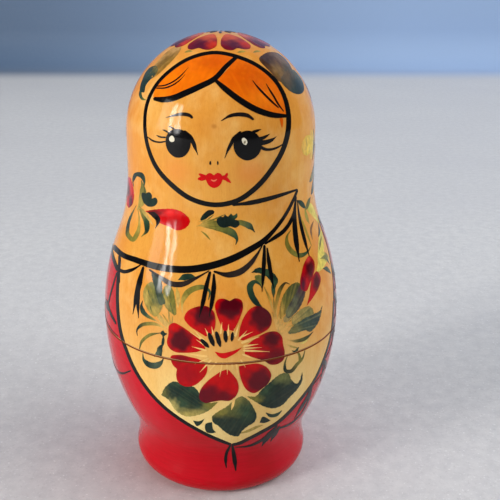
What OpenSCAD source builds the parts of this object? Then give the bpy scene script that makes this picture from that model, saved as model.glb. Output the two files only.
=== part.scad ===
// Turned wooden nesting doll: four hollow dolls that open at the belly and one solid doll
// inside them, all standing on the axis Z with the faces towards -Y. Sizes in millimetres.
// The outside sizes are those of the largest doll. The smaller dolls repeat its shape, and
// each is as large as the hollow of the next doll out allows.

/* [Outside of the largest doll] */
// Height from the foot to the crown
doll_height = 110; // [100:1:130]
// Radius of the head and of the dome that closes it
head_radius = 22.4; // [20:0.1:24]
// Largest radius, at the belly
belly_radius = 29.4; // [27.5:0.1:32]
// Height of the largest radius
belly_height = 41.6; // [40:0.1:46]
// Radius of the hollow curve between head and belly
neck_curve = 37.5; // [28:0.5:46]
// Radius of the hollow curve between belly and foot
waist_curve = 13.5; // [10:0.5:17]
// Largest radius of the foot
foot_radius = 22.4; // [21:0.1:23.5]
// Rounding of the edge of the foot
foot_round = 4.6; // [3.5:0.1:5.5]
// How far the flat that the doll stands on ends inside the largest radius of the foot
foot_toe = 2.7; // [2:0.1:3.4]
// How far the waist lies inside the largest radius of the foot
waist_depth = 0.7; // [0.4:0.05:1.5]

/* [Hollow of the largest doll] */
// Wall, which the smaller dolls have in proportion
wall = 4; // [3.4:0.1:4.8]
// Floor, which the smaller dolls have in proportion
floor_height = 6; // [4:0.1:8.5]
// Gap at the side between the foot of any doll and the well it stands in
nest_gap = 0.65; // [0.4:0.05:1.2]

/* [Lip joint] */
// Height of the seam of the largest doll
seam_height = 40.4; // [37:0.1:43]
// Height of the lip that stands up from the lower half of the largest doll
lip_height = 9; // [6:0.1:11]
// Part of the wall that goes into the lip
lip_share = 0.42; // [0.36:0.01:0.5]
// Clearance at the side between any lip and its socket
lip_clearance = 0.06; // [0.03:0.01:0.1]
// Gap over any lip, so that the shoulders of the seam meet first
lip_top_gap = 0.5; // [0.3:0.1:1]
// Bevel on the two outer edges of any seam
seam_bevel = 0.25; // [0.1:0.05:0.4]
// Bevels that lead any lip into its socket
lip_bevel = 0.3; // [0.15:0.05:0.4]

/* [Hidden] */
$fn = 128;
wood = [0.91, 0.70, 0.38];
red = [0.72, 0.04, 0.06];
reach = 2 * doll_height;

// Centres of the curves of the outline, each [radius, height]. The belly's curve is the one that
// has the belly's largest radius at its height and runs smoothly into the waist. It is kept to
// thousandths, and the centre of the waist then takes up the rest, so that the curves still touch
foot_centre = [foot_radius - foot_round, sqrt(pow(foot_round, 2) - pow(foot_round - foot_toe, 2))];
waist_side = foot_radius - waist_depth + waist_curve;
waist_rise = sqrt(pow(foot_round + waist_curve, 2) - pow(waist_side - foot_centre[0], 2));
belly_step = [waist_side - belly_radius, belly_height - foot_centre[1] - waist_rise];
belly_swell = belly_radius - foot_radius + waist_depth;
belly_curve = thousandths(belly_step * belly_step - pow(waist_curve, 2), 2 * belly_swell);
belly_centre = [belly_radius - belly_curve, belly_height];
waist_centre = touching(foot_centre, foot_round + waist_curve, belly_centre, belly_curve + waist_curve);
waist_radius = waist_centre[0] - waist_curve;
neck_side = head_radius + neck_curve;
neck_rise = sqrt(pow(belly_curve + neck_curve, 2) - pow(neck_side - belly_centre[0], 2));
neck_centre = [neck_side, belly_height + neck_rise];
dome_height = doll_height - head_radius;

// Slopes of the lines through the points where two curves meet, as rise for each millimetre
belly_to_waist = unit(waist_centre - belly_centre)[1];
belly_to_neck = unit(neck_centre - belly_centre)[1];
foot_to_waist = unit(waist_centre - foot_centre)[1];
foot_top = foot_centre[1] + foot_round * foot_to_waist;

// Sizes of the inner dolls, each as a share of the largest
second_size = size_inside(1);
third_size = size_inside(second_size);
fourth_size = size_inside(third_size);
smallest_size = size_inside(fourth_size);

// Heights at which the inner dolls stand
second_stand = floor_height;
third_stand = second_stand + floor_height * second_size;
fourth_stand = third_stand + floor_height * third_size;
smallest_stand = fourth_stand + floor_height * fourth_size;

function unit(v) = v / norm(v);

// Quotient, rounded down to thousandths
function thousandths(over, under) = floor(1000 * over / under) / 1000;

// Centre of the hollow curve that lies at one distance from a and at another from b, outside both
function touching(a, from_a, b, from_b) =
    let (
        span = norm(b - a),
        way = unit(b - a),
        along = (pow(from_a, 2) - pow(from_b, 2) + pow(span, 2)) / (2 * span),
        aside = sqrt(pow(from_a, 2) - pow(along, 2))
    )
    a + along * way + aside * [way[1], -way[0]];

// Size of the doll that fits inside a doll of the given size: its foot stands in the well, and its
// belly passes the mouth
function size_inside(size) = min(
    thousandths((waist_radius - wall) * size - nest_gap, foot_radius),
    thousandths(mouth_radius(size) * size - nest_gap, belly_radius)
);

// Sizes of the lip joint of a doll of the given size, before it is scaled. The wall is shared out
// between socket and lip where the joint has the smallest radius outside
function socket_top(size) = seam_height + lip_height + lip_top_gap / size;
function rim_radius(size) = min(belly_at(seam_height, 0), belly_at(socket_top(size), 0));
function lip_radius(size) = rim_radius(size) - (1 - lip_share) * wall;
function mouth_radius(size) = rim_radius(size) - wall;

// Radius of the belly at a height, with the surface moved inwards by depth
function belly_at(height, depth) =
    belly_centre[0] + sqrt(pow(belly_curve - depth, 2) - pow(height - belly_height, 2));

// Moves by whole millimetres, then by thousandths, then by the rest, so that a calculated point
// keeps all its decimals and curves that meet there have no step between them
module put(p) {
    whole = [floor(p[0]), floor(p[1])];
    left = 1000 * (p - whole);
    fine = [floor(left[0]), floor(left[1])] / 1000;
    translate(whole) translate(fine) translate(p - whole - fine) children();
}

// Layer of the half section, from the axis out to a radius, between two heights
module layer(radius, low, high) {
    difference() {
        put([0, low]) square(reach);
        put([0, high]) square(reach);
        put([radius, 0]) square(reach);
    }
}

// Half section from the waist up to the crown, with the surface moved inwards by depth
module waist_to_crown(depth, low) {
    belly_low = belly_height + (belly_curve - depth) * belly_to_waist;
    belly_high = belly_height + (belly_curve - depth) * belly_to_neck;
    difference() {
        layer(waist_centre[0], low, belly_low);
        put(waist_centre) circle(waist_curve + depth);
    }
    intersection() {
        put(belly_centre) circle(belly_curve - depth);
        layer(belly_radius, belly_low, belly_high);
    }
    difference() {
        layer(neck_side, belly_high, neck_centre[1]);
        put(neck_centre) circle(neck_curve + depth);
    }
    layer(head_radius - depth, neck_centre[1], dome_height);
    intersection() {
        put([0, dome_height]) circle(head_radius - depth);
        layer(head_radius, dome_height, doll_height);
    }
}

// Half section of the outside: foot, waist, belly, neck and head
module outside() {
    layer(foot_centre[0], 0, foot_top);
    intersection() {
        put(foot_centre) circle(foot_round);
        layer(foot_radius, 0, foot_top);
    }
    waist_to_crown(0, foot_top);
}

// Half section of the hollow: a straight well that opens into belly, neck and head. The mouth of
// the lower half is bored straight as well
module hollow() {
    layer(waist_radius - wall, floor_height, waist_centre[1]);
    waist_to_crown(wall, waist_centre[1]);
}

// Triangle that bevels an edge at 45 degrees: out is 1 for an outer edge and -1 for an inner one,
// up is 1 where the wall stands above the edge and -1 where it hangs below
module bevel(radius, height, width, out, up) {
    put([radius, height]) polygon([
        [-out * width, 0],
        [out * width, 0],
        [out * width, 2 * up * width]
    ]);
}

// Lower half of a doll: foot, well, belly and the lip that stands up from the seam
module lower_half(size) {
    lip_top = seam_height + lip_height;
    scale(size) rotate_extrude() difference() {
        union() {
            intersection() {
                outside();
                layer(belly_radius, 0, seam_height);
            }
            layer(lip_radius(size), seam_height, lip_top);
        }
        intersection() {
            hollow();
            layer(mouth_radius(size), 0, doll_height);
        }
        bevel(lip_radius(size), lip_top, lip_bevel / size, 1, -1);
        bevel(belly_at(seam_height, 0), seam_height, seam_bevel / size, 1, -1);
    }
}

// Upper half of a doll: belly, neck and head, with the socket that goes over the lip
module upper_half(size) {
    socket_radius = lip_radius(size) + lip_clearance / size;
    scale(size) rotate_extrude() difference() {
        intersection() {
            outside();
            layer(belly_radius, seam_height, doll_height);
        }
        hollow();
        layer(socket_radius, 0, socket_top(size));
        bevel(socket_radius, seam_height, lip_bevel / size, -1, 1);
        bevel(belly_at(seam_height, 0), seam_height, seam_bevel / size, 1, 1);
    }
}

module outer_bottom_half() {
    color(red) lower_half(1);
}

module outer_top_half() {
    color(wood) upper_half(1);
}

module second_bottom_half() {
    color(red) translate([0, 0, second_stand]) lower_half(second_size);
}

module second_top_half() {
    color(wood) translate([0, 0, second_stand]) upper_half(second_size);
}

module third_bottom_half() {
    color(red) translate([0, 0, third_stand]) lower_half(third_size);
}

module third_top_half() {
    color(wood) translate([0, 0, third_stand]) upper_half(third_size);
}

module fourth_bottom_half() {
    color(red) translate([0, 0, fourth_stand]) lower_half(fourth_size);
}

module fourth_top_half() {
    color(wood) translate([0, 0, fourth_stand]) upper_half(fourth_size);
}

module smallest_doll() {
    color(red) translate([0, 0, smallest_stand]) scale(smallest_size) rotate_extrude() outside();
}

outer_bottom_half();
outer_top_half();
second_bottom_half();
second_top_half();
third_bottom_half();
third_top_half();
fourth_bottom_half();
fourth_top_half();
smallest_doll();
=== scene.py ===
import math
from functools import partial

import bpy
import numpy as np
from mathutils.geometry import delaunay_2d_cdt
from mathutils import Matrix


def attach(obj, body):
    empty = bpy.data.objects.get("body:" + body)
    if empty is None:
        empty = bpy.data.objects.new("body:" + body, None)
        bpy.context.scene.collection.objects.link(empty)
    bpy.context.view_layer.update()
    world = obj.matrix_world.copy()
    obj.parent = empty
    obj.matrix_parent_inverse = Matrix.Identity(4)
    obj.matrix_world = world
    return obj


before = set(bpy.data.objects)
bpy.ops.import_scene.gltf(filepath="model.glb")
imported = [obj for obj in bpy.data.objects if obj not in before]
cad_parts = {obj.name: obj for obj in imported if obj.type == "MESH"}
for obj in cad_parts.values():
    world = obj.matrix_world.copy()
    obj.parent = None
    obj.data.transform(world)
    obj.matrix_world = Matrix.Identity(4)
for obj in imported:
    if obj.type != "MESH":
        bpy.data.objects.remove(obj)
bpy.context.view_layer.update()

scene = bpy.context.scene
scene.view_settings.view_transform = "Standard"

# The turned outline of the largest doll, from the same sizes as its source, in millimetres.
HEIGHT, HEAD, BELLY, BELLY_AT, NECK_CURVE, WAIST_CURVE = 110.0, 22.4, 29.4, 41.6, 37.5, 13.5
FOOT, FOOT_ROUND, FOOT_TOE, WAIST_DEPTH, SEAM, BEVEL = 22.4, 4.6, 2.7, 0.7, 40.4, 0.25
MM, TINY = 1000, 1e-9
foot_c = np.array([FOOT - FOOT_ROUND, math.sqrt(FOOT_ROUND ** 2 - (FOOT_ROUND - FOOT_TOE) ** 2)])
waist_c = np.array([FOOT - WAIST_DEPTH + WAIST_CURVE, 0.0])
waist_c[1] = foot_c[1] + math.sqrt((FOOT_ROUND + WAIST_CURVE) ** 2 - (waist_c[0] - foot_c[0]) ** 2)
rise = np.array([waist_c[0] - BELLY, BELLY_AT - waist_c[1]])
BELLY_CURVE = (rise @ rise - WAIST_CURVE ** 2) / (2 * (BELLY - FOOT + WAIST_DEPTH))
belly_c = np.array([BELLY - BELLY_CURVE, BELLY_AT])
neck_c = np.array([HEAD + NECK_CURVE, 0.0])
neck_c[1] = BELLY_AT + math.sqrt((BELLY_CURVE + NECK_CURVE) ** 2 - (neck_c[0] - belly_c[0]) ** 2)
DOME = HEIGHT - HEAD


def meeting(a, ra, b):
    """Height of the point where the arc about a runs into the arc about b."""
    return a[1] + ra * (b - a)[1] / np.linalg.norm(b - a)


BOUNDS = [meeting(foot_c, FOOT_ROUND, waist_c), meeting(belly_c, BELLY_CURVE, waist_c),
          meeting(belly_c, BELLY_CURVE, neck_c), neck_c[1], DOME]


def by_zone(z, *values):
    """The value for foot, waist, belly, neck, the straight part of the head or the dome."""
    return np.select([z < b for b in BOUNDS], values[:-1], values[-1])


def radius(z):
    """The doll's radius at a height."""
    def leg(r, c):
        return np.sqrt(np.maximum(r ** 2 - (z - c) ** 2, 0))
    return by_zone(z, foot_c[0] + leg(FOOT_ROUND, foot_c[1]), waist_c[0] - leg(WAIST_CURVE, waist_c[1]),
                   belly_c[0] + leg(BELLY_CURVE, belly_c[1]), neck_c[0] - leg(NECK_CURVE, neck_c[1]),
                   np.full_like(z, HEAD), leg(HEAD, DOME))


def seat(p):
    """The points of the doll's surface nearest to p, and the normals there."""
    r, z = np.maximum(np.hypot(p[:, 0], p[:, 1]), TINY), p[:, 2]
    zero = np.zeros_like(r)
    arcs = [zero + c for c in (foot_c[0], waist_c[0], belly_c[0], neck_c[0], 0, 0)]
    cr = by_zone(z, *arcs)
    cz = by_zone(z, *[zero + c[1] for c in (foot_c, waist_c, belly_c, neck_c)], z, zero + DOME)
    curves = (FOOT_ROUND, -WAIST_CURVE, BELLY_CURVE, -NECK_CURVE, HEAD, HEAD)
    rad = by_zone(z, *[zero + c for c in curves])
    n = np.stack([r - cr, z - cz], 1) * np.sign(rad)[:, None]
    n /= np.linalg.norm(n, axis=1)[:, None]
    rr, zz = cr + rad * n[:, 0], cz + rad * n[:, 1]
    ux, uy = p[:, 0] / r, p[:, 1] / r
    return np.stack([rr * ux, rr * uy, zz], 1), np.stack([n[:, 0] * ux, n[:, 0] * uy, n[:, 1]], 1)


# The camera that was fitted to the photograph's outline, in millimetres and pixels of a square frame.
BACK, UP, PITCH, FOCAL, FRAME = 189.24, 122.89, math.radians(19.2), 800.0, 500
AXIS_COLUMN, MIDDLE = 220.8, 250.0
EYE = np.array([0.0, -BACK, UP])
NEAREST, FARTHEST, HALVINGS = 148.0, 232.0, 24


def onto_doll(uv):
    """Where the photograph's pixels lie on the doll, as points, normals, depths and lines of sight."""
    a, b = (uv[:, 0] - AXIS_COLUMN) / FOCAL, (MIDDLE - uv[:, 1]) / FOCAL
    way = np.stack([a, math.cos(PITCH) + b * math.sin(PITCH), b * math.cos(PITCH) - math.sin(PITCH)], 1)

    def outside(t):
        p = EYE + way * t[:, None]
        over = np.maximum(p[:, 2] - HEIGHT, 0) + np.maximum(-p[:, 2], 0)
        return np.hypot(p[:, 0], p[:, 1]) - radius(np.clip(p[:, 2], 0, HEIGHT)) + over

    depths = np.arange(NEAREST, FARTHEST)
    gaps = np.stack([outside(np.full(len(uv), t)) for t in depths], 1)
    met = gaps <= 0
    at = np.where(met.any(1), met.argmax(1), gaps.argmin(1))
    low, high = depths[np.maximum(at - 1, 0)], depths[at]
    for _ in range(HALVINGS):
        mid = (low + high) / 2
        within = outside(mid) <= 0
        low, high = np.where(within, low, mid), np.where(within, mid, high)
    depth = np.where(met.any(1), high, depths[at])
    p, n = seat(EYE + way * depth[:, None])
    return p, n, depth, way / np.linalg.norm(way, axis=1)[:, None]


def turned(v, degrees):
    """Points or directions turned about the doll's axis."""
    c, s = math.cos(math.radians(degrees)), math.sin(math.radians(degrees))
    return np.stack([v[:, 0] * c - v[:, 1] * s, v[:, 0] * s + v[:, 1] * c, v[:, 2]], 1)


def photo(turn=0.0, about=(AXIS_COLUMN, MIDDLE), to=None, scale=1.0):
    """A chart that lays pixels on the doll, moved from about to another place, scaled and turned."""
    to = to or about

    def chart(uv):
        uv = (np.asarray(uv, float) - about) * scale + to
        p, n, depth, look = onto_doll(uv)
        return turned(p, turn), turned(n, turn), depth / FOCAL * scale, turned(look, turn)
    return chart


def crown(uv):
    """A chart for the top of the head, in millimetres from the pole along the dome; -y is the front."""
    uv = np.asarray(uv, float)
    r = np.maximum(np.hypot(uv[:, 0], uv[:, 1]), TINY)
    n = np.stack([np.sin(r / HEAD) * uv[:, 0] / r, np.sin(r / HEAD) * uv[:, 1] / r, np.cos(r / HEAD)], 1)
    return n * HEAD + np.array([0, 0, DOME]), n, np.ones(len(uv)), -n


ARC = 0.47


def arc(uv):
    """A chart by turn in degrees, 0 in front and stretched to millimetres with ARC, and height."""
    uv = np.asarray(uv, float)
    a, z = np.radians(uv[:, 0] / ARC), uv[:, 1]
    r = radius(z)
    p, n = seat(np.stack([r * np.sin(a), -r * np.cos(a), z], 1))
    return p, n, np.ones(len(uv)), -n


FRONT = photo()
MM_CHARTS = (crown, arc)


def rgb(r, g, b):
    """A colour as seen on a screen, as linear light."""
    c = np.array([r, g, b], float) / 255
    return np.where(c <= 0.04045, c / 12.92, ((c + 0.055) / 1.055) ** 2.4)


INK, SOFT_INK = rgb(10, 9, 10), rgb(44, 36, 32)
HAIR, HAIR_DEEP, HAIR_SHINE = rgb(230, 108, 4), rgb(214, 88, 2), rgb(240, 128, 8)
LIP = rgb(204, 2, 6)
RED, BRIGHT, MAROON = rgb(188, 1, 6), rgb(212, 4, 10), rgb(82, 1, 16)
CRIMSON, PLUM = rgb(136, 14, 22), rgb(84, 12, 40)
PINE, GREEN, OLIVE, SAGE = rgb(24, 44, 36), rgb(50, 74, 50), rgb(126, 118, 50), rgb(176, 150, 70)
YELLOW, STRAW, GOLD = rgb(226, 204, 84), rgb(228, 182, 98), rgb(190, 178, 70)
CREAM, GLINT = rgb(240, 196, 116), rgb(228, 220, 196)

# Heights of the layers of paint over the wood, the rise of a stroke over the one below it in the same
# layer, and how far each film reaches into the wood, in millimetres.
LEAF, PETAL, SHADE, LINE, SPARK, RISE, ROOT = 0.030, 0.048, 0.055, 0.063, 0.075, 0.003, 0.06
# Steps along lines, round filled shapes and between the points inside them, in pixels or in millimetres.
LINE_STEP, RIM_STEP, RAGGED_STEP, GRID = 0.9, 1.0, 0.8, 2.2
LINE_STEP_MM, RIM_STEP_MM, GRID_MM, ROW = 0.3, 0.35, 0.5, 0.87
# Lines: shares of the width at the tips, length of a tip, and how a broad or a slanting line is treated.
BLUNT, SLIM, TAPER, BROAD, SLANT, LEAST = (0.3, 0.3), (0.25, 0.25), 0.35, 4.0, 0.45, 0.02
NARROW_COLUMNS, BROAD_COLUMNS = np.linspace(-1, 1, 3), np.linspace(-1, 1, 5)
# The part of a spot's edge that is soft, and the clear middle between a dry brush's streaks.
SOFT, CLEAR = 0.8, 0.1
# Waves of a ragged edge (height, pace, start), of a spot's edge (strength, pace across and down) and of
# a dry brush's streaks (strength, pace across and along, start).
EDGE_WAVES = [(0.6, 2.7, 0), (0.4, 1.13, 1)]
SPOT_WAVES = [(0.10, 5.1, 3.3), (0.08, -4.7, 7.3)]
STREAKS = [(0.5, 1.9, 0.05, 0), (0.35, 3.1, 0.11, 1.3), (0.3, 0.83, 0, 0.6)]
# Least distance of inner points from the outline, in its steps and in those of the grid, and of any two.
OFF_RIM, OFF_GRID, APART = 0.55, 0.2, 1e-5
FACE = {"kind": "face", "layer": LEAF}
SHINE = {"kind": "face", "layer": SPARK, "fine": True}
sheets = []


def smooth(points, closed, spacing):
    """A smooth curve through the points, sampled evenly; a point with a third value of 0 is a corner."""
    pts = np.array([p[:2] for p in points], float)
    corner = [len(p) > 2 and p[2] == 0 for p in points]
    n = len(pts)
    d = [max(np.linalg.norm(pts[(i + 1) % n] - pts[i]), TINY) for i in range(n)]

    def tangent(i, after):
        ahead, behind = (pts[(i + 1) % n] - pts[i]) / d[i], (pts[i] - pts[i - 1]) / d[i - 1]
        if corner[i] or (not closed and i in (0, n - 1)):
            return ahead if after else behind
        return (ahead * d[i - 1] + behind * d[i]) / (d[i] + d[i - 1])

    out, along = [], []
    for i in range(n if closed else n - 1):
        a, b = pts[i], pts[(i + 1) % n]
        k = max(2, int(round(d[i] / spacing)))
        t = (np.arange(k) / k)[:, None]
        ta, tb = tangent(i, True) * d[i], tangent((i + 1) % n, False) * d[i]
        out.append((2 * t ** 3 - 3 * t ** 2 + 1) * a + (t ** 3 - 2 * t ** 2 + t) * ta
                   + (3 * t ** 2 - 2 * t ** 3) * b + (t ** 3 - t ** 2) * tb)
        along.append(i + t[:, 0])
    if not closed:
        out.append(pts[-1:])
        along.append(np.array([n - 1.0]))
    return np.concatenate(out), np.concatenate(along)


def step01(x):
    """A soft step from 0 to 1."""
    x = np.clip(x, 0, 1)
    return x * x * (3 - 2 * x)


def keep(name, kind, layer, p, n, colours, faces, fine):
    """Store one painted shape until the films are made."""
    sheets.append({"name": name, "kind": kind, "layer": layer, "p": p, "n": n, "c": colours,
                   "f": np.asarray(faces, int), "fine": fine})


def line(name, points, tips=BLUNT, *colours, kind="lines", layer=LINE, up=0, chart=FRONT, closed=False,
         fine=False, taper=TAPER, broad=False):
    """A brush line through the points, with colours along it. A third value is the width from there on."""
    uv, along = smooth([p[:2] for p in points], closed, LINE_STEP_MM if chart in MM_CHARTS else LINE_STEP)
    widths = []
    for point in points:
        widths.append(point[2] if len(point) > 2 else widths[-1])
    broad = broad or np.mean(widths) > BROAD
    if closed:
        widths.append(widths[0])
    w = np.interp(along, np.arange(len(widths)), widths)
    p, n, scale, look = chart(uv)
    ahead = np.roll(p, -1, 0) - np.roll(p, 1, 0)
    if not closed:
        ahead[0], ahead[-1] = p[1] - p[0], p[-1] - p[-2]
    side = np.cross(n, ahead)
    side /= np.maximum(np.linalg.norm(side, axis=1), TINY)[:, None]
    # Widths are as seen, so a line on a surface that turns away is wider on the wood.
    seen = np.abs((np.cross(side, ahead) * look).sum(1))
    flat = ahead - (ahead * look).sum(1)[:, None] * look
    seen = seen / np.maximum(np.linalg.norm(flat, axis=1), TINY)
    half = 0.5 * w * scale / np.clip(seen, SLANT, 1)
    run = np.concatenate([[0], np.cumsum(np.linalg.norm(np.diff(p, axis=0), axis=1))])
    share = run / run[-1]
    if not closed:
        for tip, gone in zip(tips, (share, 1 - share)):
            half = half * (tip + (1 - tip) * step01(gone / taper))
        for gone in (run, run[-1] - run):
            x = np.clip(gone / np.maximum(half, TINY), 0, 1)
            half = half * np.sqrt(np.maximum(1 - (1 - x) ** 2, LEAST))
    cols = np.array(colours or [INK])
    place = share * (len(cols) - 1)
    col = np.stack([np.interp(place, np.arange(len(cols)), c) for c in cols.T], 1)
    across = BROAD_COLUMNS if broad else NARROW_COLUMNS
    m, k = len(p), len(across)
    q = (p[:, None, :] + side[:, None, :] * (half[:, None] * across[None, :])[:, :, None]).reshape(-1, 3)
    q, qn = seat(q)
    faces = []
    for i in range(m if closed else m - 1):
        j = (i + 1) % m
        for a in range(k - 1):
            v = (i * k + a, i * k + a + 1, j * k + a + 1, j * k + a)
            faces += [(v[0], v[3], v[2]), (v[0], v[2], v[1])]
    keep(name, kind, layer + RISE * up, q, qn, np.repeat(col, k, 0), faces, fine)


def inside(points, ring):
    """Whether each point is within the outline."""
    x, y = points[:, 0][:, None], points[:, 1][:, None]
    a, b = ring, np.roll(ring, -1, 0)
    cross = (a[:, 1] > y) != (b[:, 1] > y)
    rise = np.where(b[:, 1] == a[:, 1], TINY, b[:, 1] - a[:, 1])
    at = (b[:, 0] - a[:, 0]) * (y - a[:, 1]) / rise + a[:, 0]
    return (cross & (x < at)).sum(1) % 2 == 1


def largest_part(tri):
    """The triangles joined by their edges, without the crumbs of a thin tip that crosses itself."""
    group, owner = list(range(len(tri))), {}

    def root(i):
        while group[i] != i:
            group[i] = group[group[i]]
            i = group[i]
        return i

    for i, t in enumerate(tri):
        for a, b in ((t[0], t[1]), (t[1], t[2]), (t[2], t[0])):
            other = owner.setdefault((min(a, b), max(a, b)), i)
            group[root(i)] = root(other)
    roots = [root(i) for i in range(len(tri))]
    best = max(sorted(set(roots)), key=roots.count)
    return np.array([t for t, r in zip(tri, roots) if r == best], int)


def roughened(ring, height):
    """The outline with the uneven edge that a dry brush leaves."""
    along = np.roll(ring, -1, 0) - np.roll(ring, 1, 0)
    length = np.maximum(np.linalg.norm(along, axis=1), TINY)
    side = np.stack([along[:, 1], -along[:, 0]], 1) / length[:, None]
    i = np.arange(len(ring))
    wave = sum(high * np.sin(pace * i + start) for high, pace, start in EDGE_WAVES)
    return ring + side * (height * wave)[:, None]


def fill(name, points, colour, kind="flowers", layer=PETAL, up=0, chart=FRONT, fine=False, grid=GRID,
         ragged=0.0):
    """A filled brush shape. colour is one colour or a function of the drawing's points."""
    spacing = RAGGED_STEP if ragged else RIM_STEP
    if chart in MM_CHARTS:
        spacing, grid = RIM_STEP_MM, GRID_MM
    ring, _ = smooth(points, True, spacing)
    if ragged:
        ring = roughened(ring, ragged)
    lo, hi = ring.min(0), ring.max(0)
    gx, gy = np.meshgrid(np.arange(lo[0], hi[0], grid), np.arange(lo[1], hi[1], grid * ROW))
    gx = gx + (np.arange(gx.shape[0]) % 2)[:, None] * grid / 2
    inner = np.stack([gx.ravel(), gy.ravel()], 1)
    inner = inner[inside(inner, ring)]
    if len(inner):
        far = np.sqrt(((inner[:, None, :] - ring[None, :, :]) ** 2).sum(2)).min(1)
        inner = inner[far > OFF_RIM * spacing + OFF_GRID * grid]
    flat = np.concatenate([ring, inner])
    edges = [(i, (i + 1) % len(ring)) for i in range(len(ring))]
    got = delaunay_2d_cdt([tuple(v) for v in flat], edges, [list(range(len(ring)))], 1, APART)
    uv = np.array([tuple(v) for v in got[0]])
    tri = [(f[0], f[i], f[i + 1]) for f in got[2] for i in range(1, len(f) - 1)]
    used, tri = np.unique(largest_part(tri), return_inverse=True)
    uv, tri = uv[used], tri.reshape(-1, 3)
    p, n, _, _ = chart(uv)
    face_n = np.cross(p[tri[:, 1]] - p[tri[:, 0]], p[tri[:, 2]] - p[tri[:, 0]])
    flip = (face_n * n[tri[:, 0]]).sum(1) < 0
    tri[flip] = tri[flip][:, ::-1]
    cols = colour(uv) if callable(colour) else np.tile(colour, (len(uv), 1))
    keep(name, kind, layer + RISE * up, p, n, cols, tri, fine)


def blobs(base, *spots):
    """One colour with soft spots of others, each (x, y, rx, ry, colour) and its softness if not SOFT."""
    def colour(uv):
        c = np.tile(base, (len(uv), 1)).astype(float)
        for x, y, rx, ry, other, *own in spots:
            soft = own[0] if own else SOFT
            u, v = uv[:, 0] / rx, uv[:, 1] / ry
            uneven = 1
            for (strength, across, down), start in zip(SPOT_WAVES, (x, y)):
                uneven = uneven + strength * np.sin(across * u + down * v + start)
            d = np.hypot(u - x / rx, v - y / ry) * uneven
            t = step01((1 + soft - d) / (2 * soft))[:, None]
            c = c * (1 - t) + np.asarray(other) * t
        return c
    return colour


def brushed(colour, root, light, share, dark=PINE):
    """Lighter and darker streaks over a colour, as a dry brush leaves them along the strokes from a root."""
    def streaked(uv):
        c = colour(uv) if callable(colour) else np.tile(colour, (len(uv), 1)).astype(float)
        d = uv - np.asarray(root, float)
        along = np.hypot(d[:, 0], d[:, 1])
        s = np.arctan2(d[:, 1], d[:, 0]) * max(along.mean(), TINY)
        f = sum(k * np.sin(pace * s + start + slow * along) for k, pace, slow, start in STREAKS)
        for streak, tint in ((f, light), (-f, dark)):
            t = (np.clip(streak - CLEAR, 0, 1) * share)[:, None]
            c = c * (1 - t) + np.asarray(tint) * t
        return c
    return streaked


def leaf(name, points, colour, up=0, **more):
    """A filled shape in leaf paint."""
    fill(name, points, colour, up=up, **{"kind": "leaves", "layer": LEAF, **more})


def frond(name, points, *colours, tips=SLIM, **more):
    """A brush line in leaf paint."""
    line(name, points, tips, *colours, **{"kind": "leaves", "layer": LEAF, **more})


def around(paint, name, points, *rest, **more):
    """Paint what is drawn by turn and height, with widths in millimetres."""
    paint(name, [(a * ARC, z, *own) for a, z, *own in points], *rest, chart=arc, **more)


# Face: ring, hair, brows, eyes, nose and mouth, in pixels of the photograph.
line("face ring", [(215.7, 52.7, 3.4), (237, 56.7, 3.5), (260, 67.3, 3.6), (276, 81.8, 3.8),
    (284.4, 97, 4.2), (287.8, 110, 4.6), (288.6, 126, 4.8), (284, 147, 4.7), (273, 167.3, 4.8),
    (256, 187.6, 5), (237, 200.6, 4.9), (217, 204.8, 4.8), (192, 199.2, 4.8), (172, 185.1, 4.6),
    (156.5, 167.3, 4), (148, 147, 3.4), (144.8, 125, 3.1), (147.8, 101.6, 3.1), (157, 84, 3.2),
    (171, 70, 3.3), (190, 58.3, 3.4)], closed=True)
fill("hair left", [(153.5, 97.5), (157.6, 85), (165, 76.5), (175, 67.8), (189, 60), (204, 55.2),
    (220, 54), (236, 57.5, 0), (227, 69), (215, 80, 0), (203, 86), (186.3, 93.5), (171, 98.5)],
    brushed(blobs(HAIR, (215, 62, 16, 8, HAIR_DEEP), (172, 78, 10, 6, rgb(240, 118, 4)),
    (160, 93, 9, 6, rgb(232, 124, 12))), (240, 20), HAIR_SHINE, 0.3, HAIR_DEEP), **FACE)
fill("hair right", [(236, 57.8, 0), (247, 61), (260, 68), (271, 77.5), (280, 90), (285.5, 103),
    (286.8, 115, 0), (273, 115), (258, 110.6), (241, 102), (228, 91.4), (216, 80.5, 0), (227.6, 69.4)],
    brushed(blobs(HAIR, (242, 76, 26, 14, HAIR_DEEP), (262, 100, 12, 8, rgb(234, 118, 8))), (215, 40),
    HAIR_SHINE, 0.3, HAIR_DEEP), **FACE)
line("parting and left lock", [(153.4, 98.6, 4.6), (162, 99.6, 5.6), (172, 98.4, 6), (185, 93.2, 6),
    (200, 86.4, 5.6), (214.5, 78.8, 5.2), (226, 66.5, 4.4), (237, 56.6, 4)], (0.75, 0.9), taper=0.12)
line("right lock", [(214.6, 79.6, 4.4), (228, 91.2, 5.6), (242.4, 101.8, 6), (259, 110.8, 6),
    (273, 115, 5.4), (287, 116, 4)], (0.7, 0.8), taper=0.15)
line("left hair", [(157, 86.2, 1.4), (164, 85.6), (171.4, 82.8), (179, 77.6), (184.6, 72), (188.6, 67.4)],
    (0.9, 0.15), fine=True)
line("left hair below", [(156, 88.2, 1.4), (165, 88), (172.4, 85.4), (179.4, 80.6), (185.4, 74.4)],
    (0.9, 0.2), fine=True)
line("right hair", [(252.4, 80.4, 2), (257, 86.4), (264, 94), (271, 101), (278.8, 108)], (0.3, 0.6),
    fine=True)
line("right hair beside", [(265.8, 83.4, 1.8), (269, 89), (273.4, 96), (278.4, 104.6), (283.8, 111.6)],
    (0.3, 0.5), fine=True)
line("hair drip", [(281, 117.6, 4.4), (281.6, 121, 2.8), (282, 128, 1.2)], (0.9, 0.4), HAIR_DEEP,
    fine=True, **FACE)
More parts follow.
